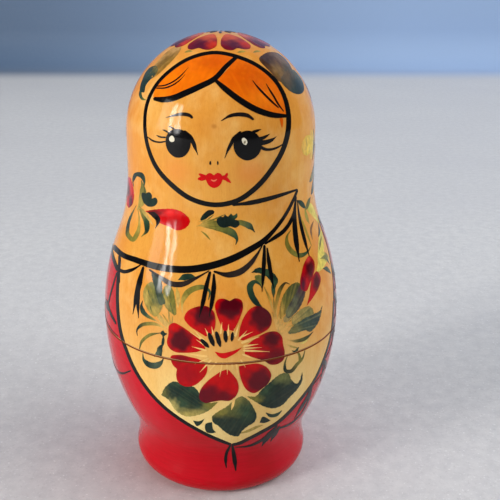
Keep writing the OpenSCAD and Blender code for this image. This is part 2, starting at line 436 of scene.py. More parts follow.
line("left brow", [(165.6, 117.8, 1.2), (174, 115.4, 2.2), (184, 114.2, 3.6), (189.4, 115.4, 4.2),
    (192.8, 118.2, 3.4)], (0.3, 0.7), rgb(30, 25, 23))
line("right brow", [(221, 121, 2), (229.6, 116, 3.2), (240, 114.4, 4), (248, 115.8, 4.4),
    (253.8, 119.8, 3.4)], (0.4, 0.6), rgb(24, 20, 20))
fill("left eye", [(178, 129), (186.4, 132.6), (190.4, 141), (189, 150.4), (182.6, 157), (176, 157.4),
    (169.6, 152.8), (166, 144.6), (166.4, 136.4), (171, 130.4)], INK, kind="lines", layer=LINE)
fill("right eye", [(247.4, 130.6), (256.6, 134), (261.2, 142.6), (260.4, 151), (254.6, 158), (247, 160.4),
    (239.4, 157.4), (234.4, 150.6), (233.8, 142.4), (239, 133.8)], INK, kind="lines", layer=LINE)
fill("left glint", [(172.2, 135.6), (174.4, 138), (174.2, 141.2), (171.8, 142), (169.6, 140.4),
    (169.8, 137)], GLINT, grid=1.2, **SHINE)
fill("right glint", [(243.6, 137.8), (246.4, 139.6), (247.2, 143), (245.8, 145), (243.4, 143.8),
    (241.8, 140.6), (242, 138.4)], blobs(GLINT, (244.7, 142.2, 1.1, 1.5, rgb(120, 110, 80), 0.5)),
    grid=1, **SHINE)
line("left eye corner", [(184, 130.6, 2.6), (190, 137, 4.4), (193.6, 143.6, 4), (195.8, 149.6, 2.6),
    (198, 155.2, 1.2)], (0.8, 0.3))
line("right eye corner", [(241, 131.4, 2.6), (234.4, 138, 4), (230.6, 144.6, 3.4), (227.4, 151, 2.4),
    (224.6, 158.4, 1.2)], (0.8, 0.3))
line("left lash long", [(147.2, 136.6, 1.6), (153, 140.8), (159, 142.2), (166, 141.4)], (0.4, 0.9),
    fine=True)
line("left lash 2", [(156.2, 135.2, 1.6), (160.6, 137), (166, 137.4)], (0.3, 1), fine=True)
line("left lash 3", [(162.4, 129.6, 1.5), (165.4, 130.8), (169, 133)], (0.3, 1), fine=True)
line("left lash 4", [(168.2, 125.8, 1.5), (171.4, 127.4), (175.4, 129.8)], (0.3, 1), fine=True)
line("right lash up", [(252, 132.4, 3.2), (256.6, 130.8, 2.6), (261.4, 129.2, 1.2)], (1, 0.3))
line("right lash 2", [(258, 139.6, 4.4), (264, 137.4, 3), (270, 133.8, 1.2)], (1, 0.3))
line("right lash 3", [(258.6, 143, 5.4), (266.4, 142, 4.4), (272.4, 139.6, 3.2), (276.4, 136.4, 1.4)],
    (1, 0.3))
line("right lash long", [(259.4, 146.4, 3.6), (266, 149.4, 2.8), (273, 149, 2.2), (280, 146, 1.6),
    (285.4, 142.2, 1.2)], (1, 0.4), fine=True)
line("left nostril", [(210.4, 160.8, 1.1), (210.2, 163, 1.9), (210.4, 165, 1.6)], (0.6, 0.8), fine=True)
line("right nostril", [(217.4, 160.8, 1.1), (217.8, 163, 1.5), (217.6, 165, 1.2)], (0.6, 0.8), fine=True)
fill("mouth", [(205.4, 176.4), (207.4, 173.8), (210, 173), (213.8, 175.2, 0), (217.8, 172.8),
    (220.6, 173.8), (222.4, 176.4), (222, 181.4), (219.2, 185.8), (214.4, 188), (209.6, 186.2),
    (206.6, 181.6)], LIP, grid=1.6, **FACE)
line("mouth left", [(197.6, 179, 3), (201.4, 178.6, 4.6), (206.6, 177.4, 4.2)], (0.6, 1), LIP, **FACE)
line("mouth left top", [(198.6, 173.8, 2.6), (202.4, 175.6, 3.2), (206.6, 176.8, 3)], (0.6, 1), LIP,
    fine=True, **FACE)
line("mouth right", [(221, 177.6, 3.8), (225.6, 178.4, 4), (228.2, 180.6, 3.2), (231, 183, 2)], (1, 0.5),
    LIP, **FACE)
line("mouth right top", [(221.6, 177, 3.2), (225, 176.8, 3.2), (227.6, 172.8, 2.6)], (1, 0.6), LIP,
    fine=True, **FACE)
line("mouth glint", [(210.8, 179.6, 1.4), (214, 180.8), (217.2, 179.2)], BLUNT, rgb(236, 120, 84),
    **SHINE)

# Scarf: chin line, lower edge, scallops and fringe.
line("chin line", [(232, 205, 3.6), (250, 202.8, 5), (268, 198.8, 4.4), (284, 194, 3.4),
    (297.6, 189.4, 2.6)], (0.6, 0.7), broad=True)
line("scarf edge", [(297.6, 189.6, 2.6), (292, 202.6, 3), (284, 217, 3.2), (272.6, 231.8, 3.8),
    (263.4, 241, 5.4), (250, 249.6, 6.4), (232, 258.8, 7), (210, 266, 7.2), (188, 269.4, 7.2),
    (158, 266.8, 6.8), (136, 260, 5.8), (122, 254.4, 5), (113.4, 246.4, 4.6)], (0.8, 1), taper=0.08)
line("scallop right", [(295.8, 203, 2.6), (291.4, 219.6, 3.4), (284, 230.6, 3.8), (274, 238, 4.4),
    (264.6, 244.2, 2.8)], (0.5, 0.6))
line("scallop middle", [(263, 244, 2), (257, 254.6, 3.4), (249, 265, 5), (239.6, 272, 6.4),
    (228, 274.8, 6.2), (213.4, 271.4, 3.4)], (0.5, 0.6), INK, SOFT_INK, SOFT_INK, INK)
line("scallop left", [(209.4, 270.6, 2.2), (195, 278.6, 3.6), (181, 284.4, 5.6), (171.6, 283.8, 5.4),
    (162, 278.4, 4.2), (149, 269.4, 2.6)], (0.5, 0.6), INK, SOFT_INK, SOFT_INK, INK, broad=True)
line("scallop far left", [(141, 264.8, 2.4), (131.6, 270, 3.6), (123.6, 271.6, 3.6), (117.4, 268, 2.8),
    (114.6, 260, 2.2)], (0.5, 0.5), fine=True)
line("knot end 1", [(296, 196, 2.4), (294.6, 211, 3.4), (295, 230, 4.8), (297.2, 248, 5),
    (299.4, 262, 2.4)], (0.6, 0.3), broad=True)
line("knot end 2", [(297.2, 200, 1.6), (298.8, 214, 2.2), (301.8, 229, 3.2), (305.4, 243, 3.2),
    (309.4, 257, 1.8)], (0.5, 0.3))
line("fringe right 1", [(264.4, 244.8, 3), (264, 262, 4), (262.8, 280, 3.4), (262, 292, 1.6)], (0.8, 0.3))
line("fringe right 2", [(267, 247.6, 2.4), (269, 262, 3.8), (271.4, 277, 3.6), (273.8, 289, 1.6)],
    (0.6, 0.3))
line("fringe middle 1", [(210.2, 271.4, 3.2), (206.4, 286, 4.4), (202.8, 303, 4.2), (199, 318, 2)],
    (0.8, 0.3), broad=True)
line("fringe middle 2", [(213.8, 273.4, 2.8), (213.8, 287, 4.8), (211.4, 305, 4), (209, 317.6, 1.8)],
    (0.7, 0.3), broad=True)
line("fringe left 1", [(143.6, 266.4, 2.8), (139.6, 282, 5.4), (136.6, 295, 4.6), (132.8, 314.4, 1.6)],
    (0.8, 0.3), broad=True)
line("fringe left 2", [(139.4, 286, 3), (138, 302, 3.4), (138.6, 318.4, 1.4)], (0.6, 0.3), fine=True)
line("dress cord 3", [(113.6, 262, 2), (118.6, 271), (119.6, 283)], (0.8, 0.5), fine=True)

# Shield-shaped front panel and its cords.
PANEL_LEFT = [(119.4, 254.6, 3), (119.6, 262), (118.6, 273), (117.8, 285), (117.6, 302.5), (118.8, 320),
    (121.9, 336.6), (126.4, 350), (133.2, 366.4), (142.2, 381.8), (153.6, 396.6), (167.6, 410),
    (180.4, 419.4), (194.8, 428.2), (211.6, 436.8), (222, 441.2), (231, 444.6)]
PANEL_RIGHT = [(333.6, 300, 3), (333.4, 309), (331, 334), (323.8, 359), (312.4, 383.4), (302, 397.4),
    (294.2, 406.6), (278.4, 421.8), (258.8, 433.4), (247.6, 439.2), (238, 443.6), (231.4, 444.8)]
line("panel left", PANEL_LEFT, (0.8, 0.8), taper=0.05)
line("panel right", PANEL_RIGHT, (0.8, 0.8), taper=0.05)
line("cord right 1", [(235.3, 447.2, 1.6), (248, 446, 2), (261, 440.4, 2.6), (275.4, 427.4, 2.6)],
    (0.4, 0.7), fine=True)
line("cord right 2", [(278.4, 428.6, 2.4), (289.6, 424, 2.2), (300.6, 414.4, 2.2), (308.4, 400, 2.2),
    (312, 385.6, 2.4)], (0.7, 0.7), fine=True)
line("cord right 3", [(311.6, 385.4, 2), (307.4, 396.6, 3.4), (301.6, 407, 4.2), (294.4, 419, 2)],
    (0.6, 0.3), fine=True)
line("tassel middle 1", [(230.6, 444.6, 2.4), (226.4, 453.6, 2.8), (225.6, 461, 3.2), (226.4, 468, 1.8)],
    (0.7, 0.5))
line("tassel middle 2", [(232.2, 444.6, 2.6), (233.8, 454.4, 4), (235, 463, 4.4), (235.8, 471, 2.2)],
    (0.7, 0.5))
line("tassel right 1", [(277.4, 425.2, 2.4), (270.6, 433.4, 5), (265, 441, 4.4), (261.6, 446.4, 1.8)],
    (0.6, 0.3))
line("tassel right 2", [(279.6, 425.6, 2), (275, 434, 3.4), (270.4, 441.6, 1.8)], (0.6, 0.3), fine=True)
around(line, "dress cord 1", [(-62.2, 56, 0.7), (-65.4, 51, 0.8), (-69.6, 46.6, 0.95)], (0.8, 0.9),
    fine=True)
around(fill, "dress knot", [(-76, 46.6), (-71, 47.1), (-66.6, 46.4), (-65.6, 45.6), (-69, 45),
    (-74, 45.3)], INK, kind="lines", layer=LINE, up=1)
around(line, "dress cord 2", [(-68.6, 46, 1.3), (-64, 45.1, 1.3), (-57.6, 43.9, 0.9)], (0.9, 0.8),
    fine=True)
around(line, "dress arc", [(-71, 45.6, 0.36), (-79, 45.2), (-83.4, 43.4), (-78, 41.6), (-67, 41.2),
    (-56, 40.9)], (0.8, 0.6), rgb(44, 6, 14), rgb(70, 6, 18), fine=True)
around(line, "dress scallop", [(-47.8, 33.4, 0.66), (-58, 30.4), (-70, 28.8), (-80, 30), (-86, 33.8),
    (-85, 38.2)], (0.5, 0.6), fine=True)
around(line, "dress tassel 1", [(-85, 38, 0.5), (-87, 34.6, 0.8), (-89.6, 31, 0.35)], (0.8, 0.4),
    fine=True)
around(line, "dress tassel 2", [(-85.4, 38, 0.5), (-90, 35.4, 0.8), (-94.6, 33.4, 0.35)], (0.8, 0.4),
    fine=True)
TRIM = [(52.4, 28.2), (59.8, 33.8), (67.2, 42.4), (71.6, 49.4), (75.4, 56)]
for i, (a, z) in enumerate(TRIM[1:]):
    b, zb = TRIM[i]
    around(line, "trim swag %d" % i, [(b + 0.4, zb - 0.3, 0.5), (b + 6.6, zb + 0.6), (a + 5.4, z - 4),
        (a + 0.5, z - 0.3)], (0.6, 0.6), fine=True)
    around(line, "trim tassel %d" % i, [(a, z, 0.6), (a + 4.6, z - 1.8, 1), (a + 9.4, z - 4.8, 0.4)],
        (0.8, 0.4))
    around(line, "trim tassel beside %d" % i, [(a, z - 0.2, 0.5), (a + 2.6, z - 3.4, 0.9),
        (a + 4.6, z - 7.4, 0.4)], (0.8, 0.4), fine=True)


def halfway(a, b):
    """The point between two others."""
    return (a[0] + b[0]) / 2, (a[1] + b[1]) / 2


def large_flower(chart=FRONT):
    """The flower with eight petals, its rays and stamens, and the three leaves under it."""
    draw, blade = partial(line, chart=chart), partial(leaf, chart=chart, grid=0.9, ragged=0.35)

    def petal(name, points, *spots):
        fill(name, points, blobs(RED, *spots), chart=chart, grid=1.6)

    petal("petal top", [(215.2, 304), (218, 299.6), (223.4, 298.6), (229.6, 301, 0), (236, 298.2),
        (241.4, 300.4), (243, 306), (241, 315), (237.4, 323.4), (233.4, 331, 0), (229, 330),
        (224, 331.4, 0), (219.6, 322), (216, 312)], (230.6, 307, 12.6, 11, MAROON, 0.34))
    petal("petal upper left", [(184.2, 318), (187.4, 311.4), (196, 307), (207, 306.4), (213.4, 311.4),
        (215.4, 320), (214.6, 328.6), (211.6, 334, 0), (205.6, 336.4, 0), (197, 331), (188.6, 325)],
        (203.6, 315.4, 10.4, 10.6, MAROON, 0.36))
    petal("petal left", [(169.8, 324.6), (173.6, 322.8), (180, 325.4), (188.4, 331), (197, 337),
        (202.6, 342.6), (205.4, 349, 0), (196, 352.2, 0), (184, 352.8), (175.6, 352), (171, 349.6),
        (167, 343), (168.4, 334.6)], (180.4, 340.4, 10.6, 10.8, MAROON, 0.34))
    petal("petal upper right", [(238.4, 339.4, 0), (240.2, 327), (244.6, 316), (250.6, 308.6), (257, 306),
        (264, 308), (270.4, 314.4), (271.8, 321), (269, 328), (261, 333.4), (251, 337.2),
        (243.4, 340.4, 0)], (262.6, 317, 12, 13, MAROON, 0.34))
    petal("petal right", [(244.6, 347, 0), (252, 341), (260.6, 335.4), (270, 331.6), (277.4, 332),
        (281.8, 336.4), (283, 344), (284.6, 352), (283.8, 359), (278.4, 363.6), (271, 364.6),
        (264.4, 361), (254, 357.6), (245, 354.6, 0)], (271.6, 339, 8.4, 8.6, MAROON, 0.6),
        (276, 356, 13, 9, rgb(112, 4, 20), 0.7), (262, 361.6, 12, 3.4, MAROON, 0.8))
    petal("petal lower right", [(238.8, 366.4, 0), (248, 364.4), (259, 363.8), (267, 367.6),
        (271.2, 374.6), (269, 382), (262.6, 388), (253, 393), (247, 390), (242, 382), (239.6, 373)],
        (260, 381.4, 13.6, 12.4, rgb(100, 8, 24), 0.36))
    petal("petal bottom", [(216, 374.6), (222, 371), (227.6, 369.6), (232.4, 374), (237.6, 381.6),
        (238.6, 389), (235.4, 396.6), (229.6, 400.6), (221, 400.4), (213, 401.6), (205, 402.8),
        (199.6, 399), (200, 391), (206, 382.6)], (207, 397.4, 16, 12, rgb(100, 6, 24), 0.45),
        (222, 398, 13, 7, rgb(110, 4, 20), 0.6))
    petal("petal lower left", [(171, 356), (178, 354.8), (190, 357), (200, 359.8), (206.6, 364.4),
        (207, 371.6), (201, 380.4), (193, 385.8), (184, 386), (178.4, 382.4), (176.2, 375), (177, 369, 0),
        (173, 365)], (186, 374, 13, 10, rgb(158, 2, 16), 0.7), (181, 358.6, 9, 4, rgb(120, 4, 18), 0.7))
    fill("flower heart red", [(214.6, 351.6, 0), (221.6, 353), (231, 351.4), (242, 347.4, 0),
        (236.6, 352.4), (230.6, 356), (224.4, 358.4), (219.4, 357)], BRIGHT, chart=chart)
    rays = [((206, 343), (193.6, 329.4), 2.2), ((210, 338.6), (205, 328), 2),
        ((213.4, 335), (211.6, 326.4), 1.6), ((220.6, 334), (222, 322), 2),
        ((228, 336), (228.6, 324), 2.2), ((235, 337), (239.4, 322.6), 2),
        ((238, 340.6), (247, 330.4), 1.8), ((241, 343), (259.6, 336.6), 2.4),
        ((243, 346.4), (258.6, 344), 2), ((243, 350.4), (270, 351.6), 2), ((242, 354), (257.6, 360), 1.8),
        ((240.6, 359.6), (245.6, 367.4), 1.6), ((236, 362.6), (239.6, 380), 1.8),
        ((231.6, 362.6), (234, 374), 1.8), ((227, 362.6), (227.4, 374.6), 1.6),
        ((222.4, 362.6), (219.6, 377), 1.6), ((216.6, 361.8), (207, 374.4), 1.8),
        ((211.4, 359.6), (199.6, 372.4), 1.8), ((207.6, 356.6), (186, 353.6), 2),
        ((206.6, 350.6), (191.6, 346.4), 1.8), ((207, 346.6), (196, 339.4), 1.6),
        ((204, 341), (190, 332), 1.2), ((239, 338), (253, 331.6), 1.4), ((243, 348.4), (262, 347.4), 1.4),
        ((233.4, 336.4), (234.4, 328), 1.4), ((209, 358.2), (194.6, 364), 1.4)]
    for i, (a, b, w) in enumerate(rays):
        draw("ray %d" % i, [(*a, w), halfway(a, b), b], (1, 0.15), CREAM,
            taper=0.8, kind="flowers", layer=SHADE, fine=True)
    stamens = [((200.6, 339), (209, 347.6), 4), ((208.6, 332.6), (214, 346.4), 4.6),
        ((216, 331.4), (220.4, 347), 4.4), ((225, 330.4), (226, 342.6), 4.2),
        ((232.8, 332), (231.6, 341.6), 3.2)]
    for i, (a, b, w) in enumerate(stamens):
        draw("stamen %d" % i, [(*a, w), halfway(a, b), b], (0.6, 0.35))
    blade("leaf lower left", [(161.4, 395, 0), (164.6, 388), (174, 381.4), (184, 385.4), (194, 387),
        (200.6, 395), (206.8, 402.4), (218, 402, 0), (210, 409.6), (198, 415), (185, 416), (175, 409.6),
        (168.4, 399.6)], brushed(blobs(GREEN, (178, 391, 15, 8, PINE, 0.7), (196, 400, 10, 8, PINE),
        (190, 415, 22, 5, rgb(168, 152, 80), 0.9), (172, 408, 5, 7, rgb(186, 170, 96), 0.9),
        (164, 393, 4, 5, rgb(100, 98, 50), 0.9), (212, 405, 8, 4, OLIVE)), (250, 440),
        rgb(124, 122, 70), 0.14))
    blade("leaf lower middle", [(242, 396.4), (248, 400), (253.6, 408), (256.6, 416), (254.6, 421.6),
        (248, 426), (242, 431), (238.4, 436), (231.6, 435.4), (224, 431), (218, 425.6), (213.4, 422.6),
        (212, 417), (217, 412.4), (227, 406.4), (234.4, 400)], brushed(blobs(PINE,
        (238, 401, 13, 8, rgb(132, 124, 62)), (223, 412, 12, 5, OLIVE),
        (236, 412, 9, 5, rgb(88, 94, 50), 0.9), (246, 410, 7, 9, GREEN, 0.9),
        (228, 424, 13, 7, rgb(34, 50, 40), 0.7)), (300, 330), rgb(132, 128, 74), 0.12))
    draw("leaf slit", [(234.4, 397.6, 2.6), (233.4, 402), (231.4, 410)], (0.9, 0.2), CREAM, kind="leaves",
        layer=SHADE, fine=True)
    blade("leaf lower right", [(247.6, 396.4), (255, 396.6), (262, 389.4), (270, 382.4), (277, 376.4),
        (283, 373.2), (289, 374), (291, 379), (297, 383.6), (300, 380, 0), (302.4, 371.4, 0), (302, 381),
        (297.4, 389), (289.4, 397.4), (281.6, 405.4), (273.6, 408.2), (264, 406.4), (255, 401.4)],
        brushed(blobs(PINE, (253, 398, 9, 5, OLIVE), (282, 377, 10, 6, rgb(108, 112, 62)),
        (267, 391, 8, 6, GREEN, 0.9), (282, 396, 13, 9, rgb(30, 44, 36), 0.7)), (222, 432),
        rgb(112, 112, 66), 0.13))


large_flower()
leaf("mark 1", [(193, 420.6, 0), (199, 421.2), (204.6, 418.8, 0), (200.6, 424.4), (197.4, 426)], PINE,
    fine=True, grid=1.5)
leaf("mark 2", [(205.6, 424), (212, 422, 0), (213.6, 430), (216, 432.2, 0), (212, 433.2), (206.6, 432)],
    PINE, fine=True, grid=1.5)
leaf("mark 3", [(259.6, 422.6, 0), (263, 416.6), (267.4, 418.4), (270.6, 420.6, 0), (264, 423)], PINE,
    fine=True, grid=1.5)
frond("mark 4", [(265.6, 412.6, 3.2), (271, 415.6), (277, 414.6), (282, 410.4)], PINE, GREEN, fine=True)
frond("mark 5", [(240, 433.4, 2.4), (248, 431), (256, 427.4), (263, 425)], SAGE, SAGE, fine=True)


def left_spray(chart=FRONT):
    """The leaves at the upper left of the flower."""
    stroke, lobe = partial(frond, chart=chart), partial(leaf, chart=chart, grid=0.9, ragged=0.3)
    for i, (x, y, w) in enumerate([(162.4, 314, 1.4), (168.4, 309, 1.8), (172.6, 316, 1.2)]):
        stroke("stem left %d" % i, [(x, y, w), (x * 0.5 + 86, 321 + i), (174.6 + 0.5 * i, 332)],
            rgb(160, 134, 62), rgb(188, 148, 72), rgb(210, 162, 84), up=i, tips=(0.5, 0.3), fine=True)
    stroke("stem left broad", [(154, 311, 4.2), (163, 321), (173, 332)], SAGE, rgb(200, 160, 84),
        rgb(214, 168, 90), up=1)
    lobe("lobe left", [(151, 282), (157.6, 284.6), (162.4, 293), (163, 303), (160.4, 311.6),
        (155.4, 316.6), (149, 311.4), (144.6, 302.6), (143.4, 292), (146.4, 285)], brushed(blobs(OLIVE,
        (157, 296, 4.4, 13, rgb(96, 100, 52)), (146, 298, 3, 10, SAGE), (155, 311, 6, 5, SAGE)),
        (166, 330), rgb(178, 154, 78), 0.3, rgb(100, 100, 48)), 2)
    lobe("lobe middle", [(168, 284.6), (172.4, 289), (174.8, 297.6), (176, 307), (175.6, 315), (169, 311),
        (163.6, 303.6), (163, 294), (164.4, 287)], brushed(blobs(OLIVE,
        (169, 296, 4, 12, rgb(104, 104, 50)), (173.6, 308, 3.4, 7, rgb(122, 116, 48)),
        (166, 303, 3, 6, SAGE)), (174, 334), rgb(178, 154, 78), 0.32, rgb(88, 90, 44)), 3)
    stroke("lobe right faint", [(176.6, 287, 4), (178, 297), (178, 308)], SAGE, STRAW)
    lobe("streak middle", [(152, 272), (158, 274.6), (161.6, 282), (162.6, 293), (164.6, 304), (161, 305),
        (157, 297), (154.6, 287), (152.4, 279)], blobs(rgb(44, 58, 48),
        (162, 300, 4, 7, rgb(74, 84, 56))), 4)
    for i, (x, y) in enumerate([(148, 289), (152, 298), (150, 305), (166, 292), (170, 302),
            (172, 308)]):
        stroke("vein %d" % i, [(x, y, 1.1), (x + 1, y + 4), (x + 2.4, y + 8)], GREEN, OLIVE, up=4,
            fine=True)
    stroke("curl up", [(182.4, 313, 2.6), (182.4, 302, 4.6), (187.6, 292.6, 6), (196, 288, 5.4),
        (204, 287.4, 4.4), (209.6, 291.4, 4), (208.4, 300, 3.2)], STRAW, SAGE, OLIVE, OLIVE, GREEN, GREEN)
    stroke("crescent top", [(178, 280, 4), (184, 277.4, 6.6), (191, 276.4, 5.4), (197, 277.6, 2)], GREEN,
        PINE, GREEN)
    stroke("hook left", [(142.6, 300.6, 2.4), (141.4, 306, 4.4), (143, 311.4, 4.6), (147, 315.6, 3.4),
        (152, 318.6, 2.4), (160, 322.6, 1.4)], PINE, PINE, GREEN, OLIVE, STRAW, up=1)
    stroke("curl left 1", [(137.4, 336, 2), (137, 330, 3), (141, 325.4, 3.6), (149, 323.6, 3.6),
        (158, 324.8, 3), (167, 330.6, 2.2)], PINE, PINE, OLIVE, SAGE, STRAW, up=2)
    stroke("curl left 2", [(139.2, 349.8, 2.6), (141.8, 341.6, 3), (149, 335.4, 3.2), (161, 332.8, 2.6)],
        GREEN, OLIVE, OLIVE, PINE, up=3)
    lobe("dot left", [(160.4, 333.4), (163, 330.4), (164.6, 332.4), (167, 333.6), (164.6, 336),
        (163, 337.4), (162, 335.2)], PINE, 5)
    stroke("hanging stem", [(163.6, 335.6, 2.2), (163, 342, 2.8), (162, 347, 3.2)], PINE, PINE, up=4)
    lobe("hanging leaf", [(162.8, 344, 0), (158, 347), (156.6, 351), (154, 356.6, 0), (158.4, 356.8),
        (161.6, 356.6, 0), (162.4, 350)], blobs(PINE, (157, 353, 4, 4, rgb(70, 84, 66))), 3)
    stroke("curl under seam", [(142.8, 353, 2.6), (143.8, 359.6, 3.8), (149, 364.6, 5.4),
        (155.4, 365.6, 6.4), (161, 362.6, 5.6), (164, 357.4, 2.6)], GREEN, PINE, rgb(70, 84, 66), PINE,
        up=2)


left_spray()


def right_spray(chart=FRONT):
    """The leaves and buds at the right of the flower."""
    stroke, lobe = partial(frond, chart=chart), partial(leaf, chart=chart, grid=0.9, ragged=0.4)
    straw, gold = rgb(226, 176, 96), rgb(178, 138, 56)
    fan = [((272.6, 312), 1.2), ((275.6, 310), 1.6), ((279.4, 312), 1.4), ((283.6, 314), 1.8),
        ((287.4, 317), 1.4), ((291.4, 320), 1.6), ((293.6, 325), 1.2), ((292.6, 331.4), 1.4)]
    for i, (end, w) in enumerate(fan):
        stroke("fan %d" % i, [(277.6 + 0.4 * i, 331.4 + 0.5 * i, w),
            ((277.4 + end[0]) / 2, (332 + end[1]) / 2), end], straw, straw, gold, up=i % 4,
            tips=(0.3, 0.6), fine=True)
    stroke("swan neck", [(262.4, 289.6, 1.6), (260, 284.6, 3), (254.6, 281.8, 4.6), (250.4, 285.4, 6),
        (251.4, 294.6, 6.2), (257, 303.4, 5.6), (266.6, 311.4, 2.4)], PINE, GREEN, PINE, PINE, up=1)
    lobe("leaf under fringe", [(255, 276), (259.6, 275), (264, 280), (262.6, 286.6), (258, 284),
        (255.4, 280)], blobs(OLIVE, (259, 279, 4, 4, rgb(96, 100, 50), 0.9)))
    lobe("leaf by fringe", [(251.4, 272.6, 0), (257, 268), (266, 268.6), (274, 273.6), (278, 280.6),
        (276, 286), (273.6, 291), (271.6, 283), (267, 277), (260, 273.4)], blobs(PINE,
        (268, 272, 8, 3, GREEN), (275, 283, 4, 4, GREEN, 0.9)), 2)
    stroke("drop of leaf", [(272.4, 282, 3.2), (273.4, 290, 3.8), (273.6, 298, 2.6)], PINE, GREEN,
        rgb(92, 78, 40), up=3)
    stroke("thin stem", [(264, 286.6, 1.6), (269.6, 299, 2.2), (273.4, 312, 1.6)], rgb(110, 96, 42), gold,
        straw, up=1, fine=True)
    stroke("thin stem 2", [(273.4, 298, 2.2), (274.2, 306, 2), (275, 318, 1.2)], rgb(120, 100, 40), gold,
        straw, up=2, fine=True)
    stroke("curl right top", [(290, 284.4, 2), (286, 282.8, 3), (281.2, 287.6, 3.6), (278, 296.6, 3.4),
        (276.2, 306, 2.6), (276.6, 315, 1.6)], rgb(48, 40, 24), rgb(66, 58, 30), rgb(130, 110, 44), gold,
        straw, up=3)
    lobe("leaf right top", [(298.6, 282.6), (292.6, 283.8), (288, 288), (284, 294), (281.2, 301.6),
        (279.6, 310.8), (281, 319), (284.6, 314.6), (288.4, 307), (292.4, 299.6), (297, 293),
        (300.6, 286.6)], brushed(blobs(rgb(104, 100, 40), (294.6, 287.4, 5, 5, rgb(66, 72, 46)),
        (290.6, 293, 4, 6, rgb(84, 86, 44), 0.9), (281.8, 314, 3, 9, rgb(190, 148, 66))), (280, 332),
        rgb(158, 134, 56), 0.6, rgb(62, 68, 38)), 3)
    lobe("leaf right shade", [(300.4, 285), (304.2, 287.6), (305.2, 291.4), (303.2, 300), (299.4, 308),
        (294.6, 313.8), (287, 318), (285.6, 311.6), (288.4, 305.6), (292.6, 298.6), (296.4, 291.6)],
        brushed(blobs(rgb(70, 66, 58), (301.6, 290, 4, 6, rgb(74, 40, 48)),
        (289, 312, 5, 5, rgb(122, 120, 78)), (295, 303, 2, 7, rgb(96, 98, 72), 0.9)), (280, 332),
        rgb(130, 126, 84), 0.45, rgb(56, 54, 50)), 4)
    lobe("leaf right low shade", [(285.4, 315.6), (289.4, 316.6), (292.6, 316), (290, 319.6),
        (286, 322.4), (283.8, 321.6)], brushed(rgb(160, 136, 82), (280, 332), rgb(200, 164, 96), 0.6,
        rgb(128, 116, 70)), 2)
    lobe("leaf right pale", [(291.6, 319.4), (297, 312.6), (303.6, 307.8), (309.6, 306.4), (313, 310),
        (313.6, 315.6), (308, 320.6), (300, 324), (293.4, 325.4)], brushed(blobs(rgb(146, 132, 72),
        (309, 311, 4, 5, rgb(126, 120, 66)), (295, 318, 4, 4, rgb(186, 156, 86))), (280, 332),
        rgb(206, 172, 100), 0.65, rgb(98, 100, 60)), 4)
    lobe("leaf right", [(322.2, 305.4, 0), (319.6, 311), (315, 313.4), (310.4, 315.6), (304.6, 318),
        (300.4, 321), (296, 323.4), (291.4, 327.8), (288.2, 333.2), (295.6, 333.2), (300, 331.8),
        (305.6, 330.2), (309.8, 331.8), (314, 328.4), (317.8, 323.2), (320.4, 316)],
        brushed(blobs(rgb(72, 82, 60), (314, 320, 7, 8, rgb(46, 60, 56)),
        (306, 323, 6, 6, rgb(64, 80, 66)), (294, 329, 6, 5, rgb(126, 120, 70))), (276, 334),
        rgb(132, 130, 86), 0.5, rgb(40, 52, 46)), 5)
    stroke("stroke right", [(286.8, 339.8, 1.4), (296, 341, 3), (302, 339.8, 3.6), (307.6, 337, 3.2),
        (313.4, 331.4, 1.6)], straw, rgb(110, 104, 52), rgb(76, 80, 44), PINE, up=1)
    stroke("stroke right pale", [(299, 344, 1), (304.6, 342, 1.8), (309.4, 338.4, 1)], rgb(222, 196, 104),
        rgb(222, 196, 104), up=2, fine=True)
    stroke("stroke right below", [(286, 344, 1.4), (292, 346.6, 2), (298.6, 348, 1.2)], STRAW, OLIVE,
        fine=True)
    stroke("loop at seam 1", [(287.4, 356, 2.4), (284.8, 364, 3), (286, 371, 3.6), (290, 371.4, 3.6),
        (297, 364.4, 3), (302.6, 358, 3), (305, 350, 2.2)], OLIVE, PINE, rgb(70, 66, 36), OLIVE, GREEN,
        up=2)
    stroke("loop at seam 2", [(296.6, 350, 1.8), (299.8, 357, 2.6), (299, 364, 2)], OLIVE, OLIVE,
        fine=True, up=3)
    stroke("seam barbs", [(291.6, 350.4, 1.2), (294.6, 351.6, 2), (299, 347, 2.4)], PINE, GREEN,
        fine=True, up=1)


right_spray()

# Two buds at the right of the spray.
fill("bud 1", [(309.4, 255.8), (313.8, 261), (314.6, 268), (312.6, 276), (309.6, 284), (305.4, 291.4),
    (301.8, 290), (300.2, 283.6), (301.6, 273), (304.8, 262)], blobs(RED,
    (309.6, 268, 4.4, 11, MAROON, 0.6), (303, 284, 2.6, 8, PLUM),
    (307.6, 259, 2.4, 3.4, rgb(212, 60, 50))), grid=1.4)
fill("bud 2", [(316.8, 271.2), (320.4, 277), (318.4, 288), (313, 297.4), (306.8, 305.6, 0),
    (309.4, 295), (310.6, 285), (313, 275.6)], blobs(RED, (316.4, 282, 3.6, 9, MAROON, 0.6)),
    grid=1.4)

